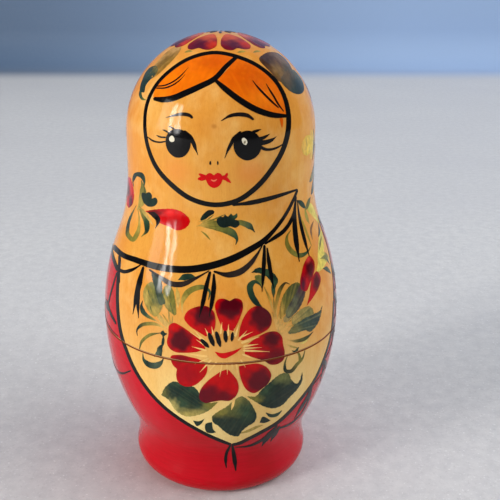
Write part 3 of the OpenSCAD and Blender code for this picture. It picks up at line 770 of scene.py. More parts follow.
# Yellow and green strokes over the right shoulder.
frond("loop right edge", [(291, 230, 2.4), (287.4, 235.4, 3.8), (287, 243.4, 4.6), (292, 251.6, 4.8),
    (300.6, 255.4, 4.6), (307, 252.4, 3.6), (311, 246, 2)], rgb(96, 92, 34), rgb(112, 102, 36), OLIVE,
    GREEN, GREEN, broad=True)
frond("shoulder 1", [(296.6, 200, 3.2), (301.4, 203.6, 5), (306.4, 209, 2.4)], PINE, GREEN, up=1,
    broad=True)
frond("shoulder 2", [(310.4, 197, 2.2), (308, 203.6, 3.2), (305, 211, 2.6)], GREEN, OLIVE, up=2)
frond("shoulder stem 1", [(300.6, 216, 1.4), (306, 231, 2), (311.6, 246, 1.6)], rgb(176, 150, 48),
    rgb(150, 126, 50), up=2, fine=True)
frond("shoulder stem 2", [(304.6, 209, 2.2), (307, 218, 2.8), (309.4, 224, 1.8)], rgb(158, 156, 56),
    rgb(150, 130, 60), up=3, fine=True)
frond("shoulder stem 3", [(313.4, 221, 1.6), (311, 229, 1.8), (312.4, 240, 1.4)], rgb(112, 72, 40),
    rgb(150, 112, 62), up=1, fine=True)
around(leaf, "shoulder yellow 1", [(60.4, 71), (65, 71.9), (71, 70.4), (76.4, 65.6), (71, 67.2),
    (65.6, 69)], blobs(YELLOW, (62 * ARC, 70.6, 1.6, 1.2, GOLD), (75 * ARC, 66.4, 1.4, 1.4, GOLD)))
around(leaf, "shoulder yellow 2", [(57.6, 59), (61.6, 61.6), (67.6, 63.6), (75.6, 64), (72, 61.6),
    (65.6, 59.7)], blobs(YELLOW, (73 * ARC, 63, 1.6, 1.4, GOLD)))
around(leaf, "shoulder yellow 3", [(54.4, 57.2), (57.6, 58.8), (63, 60), (69, 59.8), (73.4, 57.8),
    (67, 57.5), (60.6, 57)], blobs(YELLOW, (70 * ARC, 58.8, 1.8, 1.2, OLIVE)), up=1)
around(frond, "shoulder dark", [(75, 66.4, 0.5), (72, 64.8, 1.1), (66.4, 63.7, 0.5)], PINE, GREEN, up=2,
    tips=BLUNT)
around(frond, "shoulder olive 1", [(62, 61, 0.4), (66.6, 62.4, 0.8), (72, 63.2, 0.4)], OLIVE, OLIVE, up=3,
    tips=BLUNT)
around(frond, "shoulder olive 2", [(60.6, 59.4, 0.4), (67.6, 58.7, 1.1), (72.6, 56.2, 0.5)],
    rgb(150, 144, 56), GREEN, up=3, tips=BLUNT)
around(frond, "shoulder leaf", [(61, 57, 0.5), (66.1, 56.1, 1.3), (71.6, 54, 0.5)], GREEN,
    rgb(84, 92, 66), up=2, tips=BLUNT)


def chest_spray(chart=FRONT):
    """The bud and the leaves on the scarf over the chest."""
    stroke, lobe = partial(frond, chart=chart), partial(leaf, chart=chart, grid=1.4)
    # The brighter red spot near the bud's top is a painted highlight; its other spots are tones of the paint.
    fill("bud chest", [(145.6, 211, 0), (154, 209.6), (164, 208.8), (174.6, 209.2), (183.6, 213),
        (190, 221.6), (185.6, 228), (178, 230.4), (169, 226.6), (161, 223.6), (153.6, 217.4)],
        blobs(rgb(200, 2, 8), (154, 213, 8, 4, rgb(110, 4, 10)), (178, 224, 9, 5, rgb(176, 2, 8)),
        (174, 213, 8, 3, rgb(222, 26, 24))), chart=chart, grid=1.2, ragged=0.3)
    stroke("bud chest shade", [(147, 212, 2), (153.6, 214.6, 5.4), (158, 219.6, 5), (157.4, 224, 3.4),
        (155.4, 228.4, 1.8)], rgb(60, 8, 14), INK, INK, layer=LINE, broad=True)
    stroke("stem shoulder", [(141.4, 180, 3.4), (143, 190, 6.6), (141.4, 201, 7), (137, 210, 3.6)],
        rgb(92, 92, 42), rgb(126, 118, 50), rgb(160, 140, 62), SAGE)
    stroke("stem shoulder shade", [(143.6, 184, 1.2), (145, 192, 2), (143.4, 202, 1.4)], rgb(70, 76, 38),
        rgb(100, 98, 44), up=1, fine=True)
    stroke("curl shoulder", [(133.8, 187, 2), (133.2, 179.6, 3.4), (136.6, 174.4, 4), (141.6, 175.6, 5.4),
        (144.2, 181.6, 5), (144, 187, 2.2)], PINE, PINE, PINE, GREEN, up=1, broad=True)
    lobe("leaf shoulder", [(142.8, 192.4), (146, 193.4, 0), (149, 192), (151.6, 194.4), (152, 198.6, 0),
        (155.6, 197.6), (157.6, 201), (155.4, 205.4), (148.6, 206.6), (143.4, 202)], PINE, 2)
    stroke("drop left", [(136.6, 205, 1.8), (132, 214, 3), (128.2, 225, 3.6), (128.2, 235, 4.2),
        (132.6, 239.4, 4.6), (137.4, 233.4, 4.4), (139.4, 222, 3.2), (138, 209, 1.8)], OLIVE, GREEN, PINE,
        OLIVE, OLIVE, SAGE, OLIVE, up=1)
    stroke("drop right", [(137.8, 207, 2.4), (142.4, 213.6, 4.6), (146.6, 222.6, 5.6), (146.4, 231, 4.8),
        (141.2, 237, 2.2)], SAGE, OLIVE, GREEN, PINE, OLIVE, up=2, broad=True)
    stroke("stem bud", [(139, 206, 2.4), (145, 213.6, 3), (153.6, 225.6, 1.6)], OLIVE, STRAW, up=3)
    stroke("dash chest", [(200.6, 220.4, 3.6), (204.6, 216.6, 5.4), (209.6, 212.8, 6),
        (214.4, 211.8, 4.6)], PINE, INK, up=1, tips=(0.7, 0.8))
    stroke("stem chest 1", [(196, 226.4, 1.8), (205, 224.4, 4.6), (216, 223.6, 6.4), (226, 223.6, 4)],
        rgb(196, 154, 72), rgb(132, 118, 52), rgb(92, 94, 44))
    stroke("stem chest 1 beside", [(198, 222, 1.2), (206, 220.6, 2.2), (215, 220.6, 2.6)],
        rgb(196, 154, 72), rgb(140, 124, 54), up=2, fine=True)
    stroke("stem chest 2", [(202, 224, 2), (213, 227, 5.4), (225, 229.6, 7.4), (233, 233.6, 7.6),
        (237, 239.6, 5.6), (235.6, 245, 2.8)], rgb(196, 154, 72), rgb(140, 124, 54), rgb(108, 106, 46),
        rgb(92, 96, 48), GREEN, PINE, up=1)
    lobe("leaf chest", [(216.6, 220), (219.6, 216, 0), (223, 217), (225, 214.6, 0), (227.6, 216.4),
        (231, 213.4, 0), (233, 215.4), (237, 213.2, 0), (237.4, 216.6), (234.6, 219.6, 0), (238.6, 221),
        (239.4, 224.6), (235.6, 227.8), (230, 226.4), (224, 227.8), (218.6, 225.6)],
        blobs(rgb(24, 36, 32), (235, 215.6, 4, 3, GREEN)), 3)
    stroke("stem chest 3", [(231, 221.4, 3), (240, 222.4, 5), (250, 226.6, 6.4), (255, 232.4, 3)],
        rgb(150, 134, 60), rgb(112, 112, 54), rgb(70, 84, 60), PINE, up=2)
    for i, (x, y, w) in enumerate([(214, 214.6, 1.3), (217, 217.6, 1.5), (219, 220.8, 1.5),
            (219, 226.6, 1.4), (216, 229.6, 1.2), (226, 214, 1.4)]):
        stroke("chest hair %d" % i, [(199.6, 224.6 + 0.3 * i, w),
            ((199.6 + x) / 2, (224.6 + y) / 2 + 0.6), (x, y)], rgb(206, 164, 80), rgb(128, 116, 50),
            rgb(86, 90, 42), up=2 + i % 2, fine=True)
    stroke("tick chest", [(201, 231, 1.6), (206, 235), (210.4, 240)], OLIVE, OLIVE, fine=True)


chest_spray()
around(fill, "bud left edge", [(-69, 77.4, 0), (-65, 76), (-62.6, 74), (-63.6, 72), (-69, 70.3, 0),
    (-76, 70.6), (-82.6, 72.4), (-84, 74.8), (-77, 77)], blobs(RED, (-67 * ARC, 72, 1.8, 1.6, PLUM, 0.7),
    (-76 * ARC, 74, 2.4, 1.6, MAROON, 0.6)))
around(frond, "bud left edge stem", [(-84, 74, 0.5), (-89, 76.6, 0.9), (-95, 76.2, 0.4)], PINE, OLIVE,
    tips=BLUNT)
around(frond, "bud left edge leaf", [(-83, 72.6, 0.5), (-89, 70.4, 1.2), (-96, 70.8, 0.4)], OLIVE, GREEN,
    up=1, tips=BLUNT)

# Head: leaves at both sides of the ring and strokes at the right edge.
leaf("head leaf left", [(-16.8, -7.5), (-14.6, -6.2), (-12.4, -5.1), (-10.5, -5.2), (-9.2, -7.3),
    (-9.9, -9.5), (-11.4, -11), (-13.3, -12), (-16, -12.5), (-17.9, -11.6), (-17.9, -9.1)],
    brushed(blobs(rgb(158, 112, 40), (-14, -9.6, 3.6, 1.8, rgb(124, 92, 34)),
    (-10.4, -7, 1.6, 1.8, rgb(188, 144, 84)), (-15.4, -7, 2.2, 1.2, rgb(176, 134, 68))), (-30, -14),
    rgb(190, 148, 74), 0.4, rgb(98, 72, 28)), chart=crown)
leaf("head leaf left dark", [(142.4, 80), (146, 72), (151, 67), (156.4, 66), (158, 70), (154.6, 76),
    (149.4, 80.6), (145.6, 86), (143.6, 92.6), (140.4, 91.4), (140.6, 85)], blobs(PINE,
    (150, 74, 6, 5, rgb(50, 66, 54)), (156, 69, 3.4, 4, rgb(96, 92, 50))), grid=1.6, up=1)
frond("head curl left", [(141.6, 87, 3.6), (140.2, 93, 3), (142.2, 98.6, 2.6), (147, 100.2, 1.4)], PINE,
    GREEN, OLIVE, up=2)
leaf("head leaf right", [(9.1, -12.8), (10.1, -9.8), (12.1, -6.6), (14.4, -4.2), (16.4, -4.2),
    (17.9, -6.2), (18.9, -8.6), (18.5, -11.8), (16.4, -14.9), (14.3, -15.7), (12.4, -14.8), (10.6, -14)],
    blobs(rgb(98, 66, 44), (10.8, -11.4, 2.4, 2.8, rgb(64, 40, 30)),
    (15, -6.4, 2.6, 2, rgb(118, 90, 64), 0.9), (14.4, -12.6, 1.8, 2, rgb(132, 98, 46), 0.9),
    (18, -10, 2.4, 3.4, rgb(74, 70, 48), 0.9)), chart=crown)
leaf("head leaf right dark", [(15.3, -15.3), (15.8, -12.4), (17.3, -8.5), (19.6, -5.4), (21.8, -5),
    (23.1, -7.7), (22.5, -11.5), (20.8, -14), (18.5, -15.5)], blobs(rgb(46, 58, 48),
    (16.4, -11, 2.2, 5, rgb(98, 76, 46), 0.9), (19.4, -6.4, 2.6, 1.6, rgb(92, 88, 58)),
    (21.6, -11.6, 1.8, 2.4, rgb(34, 46, 40))), chart=crown, layer=LEAF + 0.004)
frond("head stroke right", [(23.6, -3, 0.7), (25.3, -2.4, 1.3), (27.4, -3.4, 0.6)], PINE, chart=crown,
    tips=BLUNT)

# A yellow bud at the right of the head, pointing to the face. Its calyx and stem go over to the side.
BUD_AT = np.array([73.6 * ARC, 85.2])
BUD_PETALS = [("lower", 216, 4.6, 1.3), ("upper", 141, 5.4, 1.4), ("middle", 174, 9.6, 2.3)]
BUD_SHAPE = [(0, -0.2), (0.3, -0.65), (0.6, -1), (0.84, -0.8), (1, 0), (0.84, 0.8), (0.6, 1), (0.3, 0.65),
    (0, 0.2)]


def ways(degrees):
    """The directions outward and across at an angle."""
    a = math.radians(degrees)
    return np.array([math.cos(a), math.sin(a)]), np.array([-math.sin(a), math.cos(a)])


for i, (name, angle, length, half) in enumerate(BUD_PETALS):
    out, across = ways(angle)
    shape = [tuple(BUD_AT + out * length * u + across * half * v) for u, v in BUD_SHAPE]
    tip = (*(BUD_AT + out * length), 3, 2, rgb(226, 176, 74), 0.9)
    leaf("head bud " + name, shape, brushed(blobs(rgb(228, 192, 66), tip), BUD_AT, rgb(238, 212, 104), 0.22,
        rgb(206, 164, 60)), i, chart=arc, ragged=0.1)
around(frond, "head calyx", [(71.4, 88.8, 0.5), (73.4, 86.6, 1), (73.8, 84.6, 1.7), (72, 81.6, 0.7)],
    OLIVE, GREEN, PINE, PINE, up=4, tips=BLUNT)
around(frond, "head stem", [(73.8, 85.2, 0.5), (80.6, 84.6, 0.6), (86, 81.8, 0.7), (85.4, 78.2, 0.6),
    (83, 76.4, 0.5)], PINE, OLIVE, up=3, tips=BLUNT)
around(leaf, "head leaf side 1", [(86, 80.2, 0), (81, 80), (74, 79.2), (69, 78), (66.4, 76.9), (71, 76.6),
    (78, 77.2), (83, 78.4)], blobs(rgb(74, 90, 76), (72 * ARC, 77.4, 1.6, 1, OLIVE)))
around(leaf, "head leaf side 2", [(84.6, 77.2, 0), (79, 76.6), (73, 75.6), (69, 73.6), (73.6, 73.6),
    (80, 74.7), (84, 76)], blobs(PINE, (73 * ARC, 74.4, 1.4, 1, GREEN)), up=1)
around(leaf, "head leaf side 3", [(86.4, 81, 0), (90, 82.6), (95, 82.8), (99, 81.4), (94.6, 80.6),
    (90, 80.4)], blobs(GREEN, (97 * ARC, 81.6, 1.6, 1, OLIVE)))
for i, x in enumerate((189.6, 242.4, 258)):
    frond("head tick %d" % i, [(x - 5, 52.4 + 0.1 * i, 1.8), (x - 1, 51.6 - 0.4 * abs(i - 1)),
        (x + 3, 51.4)], OLIVE, SAGE, fine=True)

# Rosette on the crown, round the pole, in millimetres.
PETALS, FIRST_PETAL, STAMEN = 8, -70, (1.2, 2.2, 3.4)
PETAL_SHAPE = [(4.2, 0), (6.2, -1.9), (8.2, -3), (10.2, -3.5), (11.6, -2.9), (12.1, -1.6), (11.5, -0.2),
    (11.9, 1.3), (11.7, 2.6), (10.4, 3.5), (8.2, 2.9), (6.2, 1.8)]
for i in range(PETALS):
    angle = FIRST_PETAL + i * 360 / PETALS
    out, across = ways(angle)
    spots = [(*(out * 10.4), 3, 3, PLUM, 0.7), (*(out * 9.6 + across * 2.6), 1.4, 1.6, rgb(190, 44, 24), 0.9),
        (*(out * 5.4), 2.2, 2.2, rgb(206, 84, 36), 0.9)]
    fill("crown petal %d" % i, [tuple(out * u + across * v) for u, v in PETAL_SHAPE],
        blobs(CRIMSON, *spots), chart=crown)
    between, _ = ways(angle + 180 / PETALS)
    line("crown stamen %d" % i, [(*(between * r), 0.6) for r in STAMEN], (0.5, 1), chart=crown, fine=True)

# What the photograph doesn't show: the scarf's edge round the back, with its fringe, and more sprays.
SCARF_ROUND = [(-62, 56.6), (-72, 57.8), (-84, 58.4), (-100, 56.4), (-120, 52.4), (-142, 48.4),
    (-162, 46), (-180, 45.2), (-198, 46), (-218, 48.6), (-238, 53.2), (-256, 58.8), (-270, 63.6),
    (-281, 67)]
PANEL_ROUND = [(70.2, 47.6), (74, 53), (77.4, 60), (79, 67.2)]


def scarf_height(turn):
    """Height of the scarf's edge on the back, at a turn."""
    return float(np.interp(-turn, [-a for a, _ in SCARF_ROUND], [z for _, z in SCARF_ROUND]))


around(line, "scarf edge round", [(a, z, 1.4) for a, z in SCARF_ROUND], (1, 0.8), taper=0.05)
around(line, "panel right round", [(a, z, 0.7) for a, z in PANEL_ROUND], (1, 0.8), taper=0.05)
KNOTS = [-92, -116, -140, -164, -188, -212, -236, -260]
for i, a in enumerate(KNOTS):
    z = scarf_height(a)
    around(line, "back fringe %d" % i, [(a + 0.6, z - 0.4, 0.7), (a + 1.6, z - 4.6, 0.95),
        (a + 2.4, z - 9.6, 0.4)], (0.8, 0.3))
    around(line, "back fringe beside %d" % i, [(a - 0.6, z - 0.4, 0.6), (a - 1.4, z - 4.2, 0.8),
        (a - 3, z - 8.6, 0.35)], (0.7, 0.3), fine=True)
    if i + 1 < len(KNOTS):
        b, m = KNOTS[i + 1], (a + KNOTS[i + 1]) / 2
        zb, zm = scarf_height(b), scarf_height(m)
        around(line, "back scallop %d" % i, [(a - 1, z - 0.7, 0.5), (a - 6, (z + zm) / 2 - 2.6, 0.8),
            (m, zm - 3.8, 1), (b + 6, (zb + zm) / 2 - 2.6, 0.8), (b + 1, zb - 0.7, 0.5)], (0.5, 0.5), INK,
            SOFT_INK, INK)
FLOWER_AT, CHEST_AT, BACK_AT, BACK_SCALE, SIDE_SCALE = (226, 352), (190, 222), (AXIS_COLUMN, 205), 0.86, 0.9
back = photo(180, FLOWER_AT, BACK_AT, BACK_SCALE)
for spray in (large_flower, left_spray, right_spray):
    spray(back)
for turn, place in ((128, (215, 150)), (-122, (226, 140))):
    chest_spray(photo(turn, CHEST_AT, place, SIDE_SCALE))

# Red parts of the dress on the shells: where the panel and the scarf end, as curves by height and turn.
EDGE_STEP, LEFT_KNOTS, RIGHT_KNOTS, FULL_TURN = 2.0, 26, 20, 360


def by_height(points, knots):
    """The panel's edge as heights and turns, evenly spaced in height, and the turn of its first point."""
    uv, _ = smooth(points, False, EDGE_STEP)
    p, _, _, _ = onto_doll(uv)
    turn, z = np.degrees(np.arctan2(p[:, 0], -p[:, 1])), p[:, 2]
    order = np.argsort(z)
    at = np.linspace(z[order[0]], z[order[-1]], knots)
    return list(zip(at, np.interp(at, z[order], turn[order]))), turn[0]


left_edge, left_end = by_height(PANEL_LEFT, LEFT_KNOTS)
right_edge, _ = by_height(PANEL_RIGHT, RIGHT_KNOTS)
# Under the panel's tip the two edges cross, so that all is red there.
CROSSED_FOOT, CROSSED_TIP, UNDER_TIP = 60.0, 40.0, 0.4
tip_z = min(left_edge[0][0], right_edge[0][0]) - UNDER_TIP
left_curve = [(0.0, CROSSED_FOOT), (tip_z, CROSSED_TIP), *left_edge, (HEIGHT, left_end)]
right_curve = [(0.0, -CROSSED_FOOT), (tip_z, -CROSSED_TIP), *right_edge]
right_curve += [(z, a) for a, z in PANEL_ROUND[1:]] + [(HEIGHT, PANEL_ROUND[-1][0])]
SCARF_FRONT = [(-55.0, 56.0), (-40.0, 60.0), (40.0, 75.0), (70.0, 75.0)]
scarf_left = sorted((a, z) for a, z in SCARF_ROUND if a >= -FULL_TURN / 2)
scarf_right = sorted((a + FULL_TURN, z) for a, z in SCARF_ROUND if a <= -FULL_TURN / 2)
scarf_curve = scarf_left + SCARF_FRONT + scarf_right


def split(sheet, z0, above):
    """The part of a sheet over or under a height."""
    p, n, c, f = sheet["p"], sheet["n"], sheet["c"], sheet["f"]
    side = (p[:, 2] - z0) * (1 if above else -1)
    if (side >= 0).all():
        return sheet
    if (side < 0).all():
        return None
    p, n, c, made, faces = list(p), list(n), list(c), {}, []

    def cut(i, j):
        key = (min(i, j), max(i, j))
        if key not in made:
            t = side[key[0]] / (side[key[0]] - side[key[1]])
            for rows in (p, n, c):
                rows.append(rows[key[0]] * (1 - t) + rows[key[1]] * t)
            made[key] = len(p) - 1
        return made[key]

    for tri in f:
        poly = []
        for i, j in zip(tri, np.roll(tri, -1)):
            if side[i] >= 0:
                poly.append(i)
            if (side[i] >= 0) != (side[j] >= 0):
                poly.append(cut(i, j))
        faces += [(poly[0], poly[k], poly[k + 1]) for k in range(1, len(poly) - 1)]
    used = np.unique(np.array(faces))
    back = {v: k for k, v in enumerate(used)}
    return dict(sheet, p=np.array(p)[used], n=np.array(n)[used], c=np.array(c)[used],
                f=np.array([[back[v] for v in t] for t in faces]))


def rim_edges(f):
    """Directed edges that only one triangle has."""
    pairs = np.concatenate([f[:, [0, 1]], f[:, [1, 2]], f[:, [2, 0]]])
    there = {(int(a), int(b)) for a, b in pairs}
    return sorted((a, b) for a, b in there if (b, a) not in there)


def film(name, parts, size, stand, material):
    """One closed mesh of thin films of paint, each at its layer's height over the wood and rooted in it."""
    verts, normals, colours, faces = [], [], [], []
    base = 0
    for s in parts:
        p = s["p"] * size + np.array([0, 0, stand])
        k = len(p)
        verts += [p + s["n"] * s["layer"], p - s["n"] * ROOT]
        normals += [s["n"], s["n"]]
        colours += [s["c"], s["c"]]
        sides = [t for a, b in rim_edges(s["f"]) for t in ((a, a + k, b + k), (a, b + k, b))]
        faces += [s["f"] + base, s["f"][:, ::-1] + base + k, np.array(sides) + base]
        base += 2 * k
    verts, normals = np.concatenate(verts) / MM, np.concatenate(normals)
    colours, faces = np.concatenate(colours), np.concatenate(faces)
    mesh = bpy.data.meshes.new(name)
    mesh.from_pydata(verts.tolist(), [], faces.tolist())
    mesh.polygons.foreach_set("use_smooth", np.ones(len(faces), bool))
    paint = mesh.color_attributes.new("paint", "FLOAT_COLOR", "POINT")
    opaque = np.concatenate([colours, np.ones((len(colours), 1))], 1)
    paint.data.foreach_set("color", opaque.astype(np.float32).ravel())
    mesh.normals_split_custom_set_from_vertices(normals.tolist())
    mesh.materials.append(material)
    mesh.update()
    piece = bpy.data.objects.new(name, mesh)
    scene.collection.objects.link(piece)
    return piece


class Nodes:
    """Short calls for building a node material."""

    def __init__(self, name):
        self.mat = bpy.data.materials.new(name)
        self.mat.use_nodes = True
        self.tree = self.mat.node_tree
        self.tree.nodes.clear()

    def plug(self, socket, value):
        if isinstance(value, bpy.types.NodeSocket):
            self.tree.links.new(value, socket)
        else:
            socket.default_value = value

    def put(self, kind, **sockets):
        node = self.tree.nodes.new(kind)
        for key, value in sockets.items():
            self.plug(node.inputs[key.replace("_", " ")], value)
        return node

    def math(self, operation, a, b=0.0):
        node = self.tree.nodes.new("ShaderNodeMath")
        node.operation = operation
        self.plug(node.inputs[0], a)
        self.plug(node.inputs[1], b)
        return node.outputs[0]

    def add(self, a, b):
        return self.math("ADD", a, b)

    def minus(self, a, b):
        return self.math("SUBTRACT", a, b)

    def times(self, a, b):
        return self.math("MULTIPLY", a, b)

    def vec(self, operation, a, b=(0, 0, 0)):
        node = self.tree.nodes.new("ShaderNodeVectorMath")
        node.operation = operation
        self.plug(node.inputs[0], a)
        self.plug(node.inputs[1], b)
        return node.outputs["Value" if operation in ("DOT_PRODUCT", "DISTANCE") else "Vector"]

    def scaled(self, vector, x, y, z):
        return self.put("ShaderNodeMapping", Vector=vector, Scale=(x, y, z)).outputs[0]

    def noise(self, vector, scale, detail, rough=0.55):
        node = self.put("ShaderNodeTexNoise", Vector=vector, Scale=scale, Detail=detail, Roughness=rough)
        return node.outputs[0]

    def remap(self, value, a, b, low=0.0, high=1.0, soft=False):
        node = self.put("ShaderNodeMapRange", Value=value, From_Min=a, From_Max=b, To_Min=low, To_Max=high)
        node.interpolation_type = "SMOOTHSTEP" if soft else "LINEAR"
        node.clamp = True
        return node.outputs[0]

    def mix(self, share, a, b, blend="MIX"):
        node = self.tree.nodes.new("ShaderNodeMix")
        node.data_type, node.blend_type = "RGBA", blend
        self.plug(node.inputs[0], share)
        for socket, colour in ((node.inputs[6], a), (node.inputs[7], b)):
            self.plug(socket, colour if isinstance(colour, bpy.types.NodeSocket) else (*colour, 1.0))
        return node.outputs[2]

    def stained(self, colour, share, tint):
        return self.mix(share, colour, self.mix(1.0, colour, tint, "MULTIPLY"))

    def curve(self, value, points):
        node = self.put("ShaderNodeFloatCurve", Factor=1.0, Value=value)
        knots = node.mapping.curves[0].points
        node.mapping.use_clip = False
        knots[0].location, knots[1].location = points[0], points[-1]
        for q in points[1:-1]:
            knots.new(*q)
        for q in knots:
            q.handle_type = "VECTOR"
        node.mapping.update()
        return node.outputs[0]

    def ripple(self, p, fibre=None):
        """The slight waves of a lacquered surface, with the fibres under it where they are given."""
        wave = self.noise(self.scaled(p, 1, 1, 0.5), 0.22, 2.0, 0.5)
        return wave if fibre is None else self.add(wave, fibre)

    def finish(self, **sockets):
        bsdf = self.put("ShaderNodeBsdfPrincipled", **sockets)
        out = self.put("ShaderNodeOutputMaterial")
        self.tree.links.new(bsdf.outputs[0], out.inputs[0])
        return self.mat


# Roughness of lacquer and of raw wood, the lacquer's index, and the strength and height of its ripples.
GLOSS, RAW, LACQUER, RIPPLE, RIPPLE_HIGH = 0.09, 0.62, 1.28, 0.12, 0.0012
WOOD_PALE, WOOD_WARM, WOOD_PATCH = rgb(244, 223, 152), rgb(228, 163, 71), rgb(244, 204, 128)
# The last colour is the brown of the seam's groove: partly dirt in the joint, partly painted shade in the
# recess.
RAW_PALE, RAW_DEEP, GROOVE_DIRT_AND_SHADE = rgb(236, 206, 158), rgb(214, 178, 124), rgb(124, 60, 24)
DRESS, DRESS_DEEP, DRESS_PINK = rgb(191, 0, 24), rgb(173, 0, 14), rgb(205, 2, 36)
# Places in the halves from which their outside faces away, how softly it turns to the inside, how far the
# faces of the joint look down, and where the lacquer ends and the groove lies beside the seam.
TOP_MIDDLE, BOTTOM_MIDDLE, TURN_IN, DOWN = 60.0, 30.0, 0.5, (-0.93, -0.88)
LACQUER_END, GROOVE_EDGE = (0.02, 0.06), (0.34, 0.24)


def blush(u, v, *rest):
    """A soft spot of colour in the wood, at a pixel of the photograph."""
    p, _, _, _ = onto_doll(np.array([[u, v]], float))
    return tuple(float(x) for x in p[0]), *rest


# Two cheeks, and the knot in the wood of the forehead: place, reach in millimetres, share and colour.
BLUSHES = [blush(178, 171, 5.2, 0.55, rgb(232, 140, 58)), blush(250, 172, 5.2, 0.55, rgb(230, 136, 60)),
           blush(214, 126.4, 0.9, 0.55, rgb(150, 76, 22)), blush(208, 127, 4.6, 0.4, rgb(212, 132, 44))]


def lacquered(n, p, z, half):
    """1 on the outside, 0 inside and on the joint, by how the surface faces from the half's middle."""
    if half == "whole":
        return 1.0
    normal = n.put("ShaderNodeNewGeometry").outputs["Normal"]
    middle = (0, 0, TOP_MIDDLE if half == "top" else BOTTOM_MIDDLE)
    out = n.remap(n.vec("DOT_PRODUCT", normal, n.vec("SUBTRACT", p, middle)), -TURN_IN, TURN_IN)
    if half == "top":
        return n.times(out, n.remap(n.put("ShaderNodeSeparateXYZ", Vector=normal).outputs[2], *DOWN))
    return n.times(out, n.remap(z, *(SEAM - gap for gap in LACQUER_END)))


def dressed(n, p, turn, high):
    """1 on the red dress, which is beside the panel and under the scarf; turn and high run from 0 to 1."""
    soft, hem = 0.0006, 0.001
    here = n.add(turn, n.times(n.minus(n.noise(p, 0.35, 2.0), 0.5), 0.0016))
    left = n.curve(high, [(z / HEIGHT, a / FULL_TURN + 0.5) for z, a in left_curve])
    right = n.curve(high, [(z / HEIGHT, a / FULL_TURN + 0.5) for z, a in right_curve])
    scarf = n.curve(turn, [(a / FULL_TURN + 0.5, z / HEIGHT) for a, z in scarf_curve])
    past = [n.remap(gap, -soft, soft) for gap in (n.minus(left, here), n.minus(here, right))]
    return n.times(n.math("MAXIMUM", *past), n.remap(n.minus(scarf, high), -hem, hem))


def linden(n, p, z, fibre, cloud, blushes):
    """Linden under yellowed lacquer: long fibres, faint rings, and a warmer tone towards the head."""
    ring = n.put("ShaderNodeTexWave", Vector=n.vec("ADD", n.scaled(p, 1, 1, 0.06), (31.0, 12.0, 0.0)),
                 Scale=0.16, Distortion=2.2, Detail=2.0, Detail_Scale=0.6)
    ring.wave_type, ring.rings_direction = "RINGS", "Z"
    patch = n.noise(n.vec("ADD", n.scaled(p, 1, 1, 0.7), (7.0, 3.0, 5.0)), 0.13, 3.0, 0.6)
    pores = n.noise(n.scaled(p, 1, 1, 0.35), 2.6, 3.0, 0.7)
    wood = n.mix(n.remap(z, 24.0, 56.0, soft=True), WOOD_PALE, WOOD_WARM)
    wood = n.stained(wood, n.remap(cloud, 0.35, 0.7), rgb(247, 222, 190))
    wood = n.mix(n.times(n.remap(patch, 0.5, 0.75), 0.5), wood, WOOD_PATCH)
    wood = n.stained(wood, n.times(n.remap(pores, 0.5, 0.78), 0.32), rgb(220, 186, 150))
    wood = n.stained(wood, n.times(n.remap(fibre, 0.4, 0.75), 0.2), rgb(226, 190, 150))
    wood = n.stained(wood, n.times(ring.outputs[1], 0.07), rgb(232, 196, 150))
    for spot, reach, share, tint in blushes:
        away = n.vec("MULTIPLY", n.vec("SUBTRACT", p, spot), (1, 1, 1.2))
        near = n.remap(n.vec("DISTANCE", away), reach, reach * 0.15, soft=True)
        wood = n.mix(n.times(near, share), wood, tint)
    return wood


def red_dress(n, p, cloud):
    """Red paint, brushed round on the lathe."""
    brush = n.noise(n.scaled(p, 0.10, 0.10, 1.3), 1.6, 4.0, 0.6)
    paint = n.mix(n.remap(brush, 0.3, 0.72), DRESS, DRESS_DEEP)
    return n.mix(n.times(n.remap(cloud, 0.5, 0.72), 0.5), paint, DRESS_PINK)


def shell_material(name, size, stand, half):
    """Lacquered linden and red paint outside, raw linden inside, in the largest doll's coordinates."""
    n = Nodes(name)
    place = n.put("ShaderNodeMapping", Vector=n.put("ShaderNodeTexCoord").outputs["Object"],
                  Location=(0, 0, -stand / size), Scale=(MM / size,) * 3)
    p = place.outputs[0]
    x, y, z = n.put("ShaderNodeSeparateXYZ", Vector=p).outputs
    turn = n.add(n.math("DIVIDE", n.math("ARCTAN2", x, n.times(y, -1.0)), 2 * math.pi), 0.5)
    out = lacquered(n, p, z, half)
    red = dressed(n, p, turn, n.math("DIVIDE", z, HEIGHT))
    fibre = n.noise(n.scaled(p, 1.6, 1.6, 0.035), 2.2, 5.0, 0.6)
    cloud = n.noise(n.scaled(p, 1, 1, 0.45), 0.075, 3.0, 0.5)
    wood = linden(n, p, z, fibre, cloud, [] if half == "bottom" else BLUSHES)
    # Brown in the groove at the seam: dirt in the joint and painted shade of the recess.
    groove = 0.0 if half == "whole" else n.remap(n.math("ABSOLUTE", n.minus(z, SEAM)), *GROOVE_EDGE)
    raw = n.mix(n.remap(fibre, 0.35, 0.75), RAW_PALE, RAW_DEEP)
    shown = n.mix(groove, n.mix(red, wood, red_dress(n, p, cloud)), GROOVE_DIRT_AND_SHADE)
    worn = n.times(n.remap(n.noise(p, 0.5, 4.0, 0.65), 0.45, 0.8), 0.07)
    rough = n.add(n.add(n.times(out, GLOSS - RAW), RAW), worn)
    height = n.ripple(p, n.times(fibre, n.add(n.times(out, -0.07), 0.1)))
    bump = n.put("ShaderNodeBump", Height=height, Strength=RIPPLE, Distance=RIPPLE_HIGH * size)
    return n.finish(Base_Color=n.mix(out, raw, shown), Roughness=rough, Normal=bump.outputs[0], IOR=LACQUER)


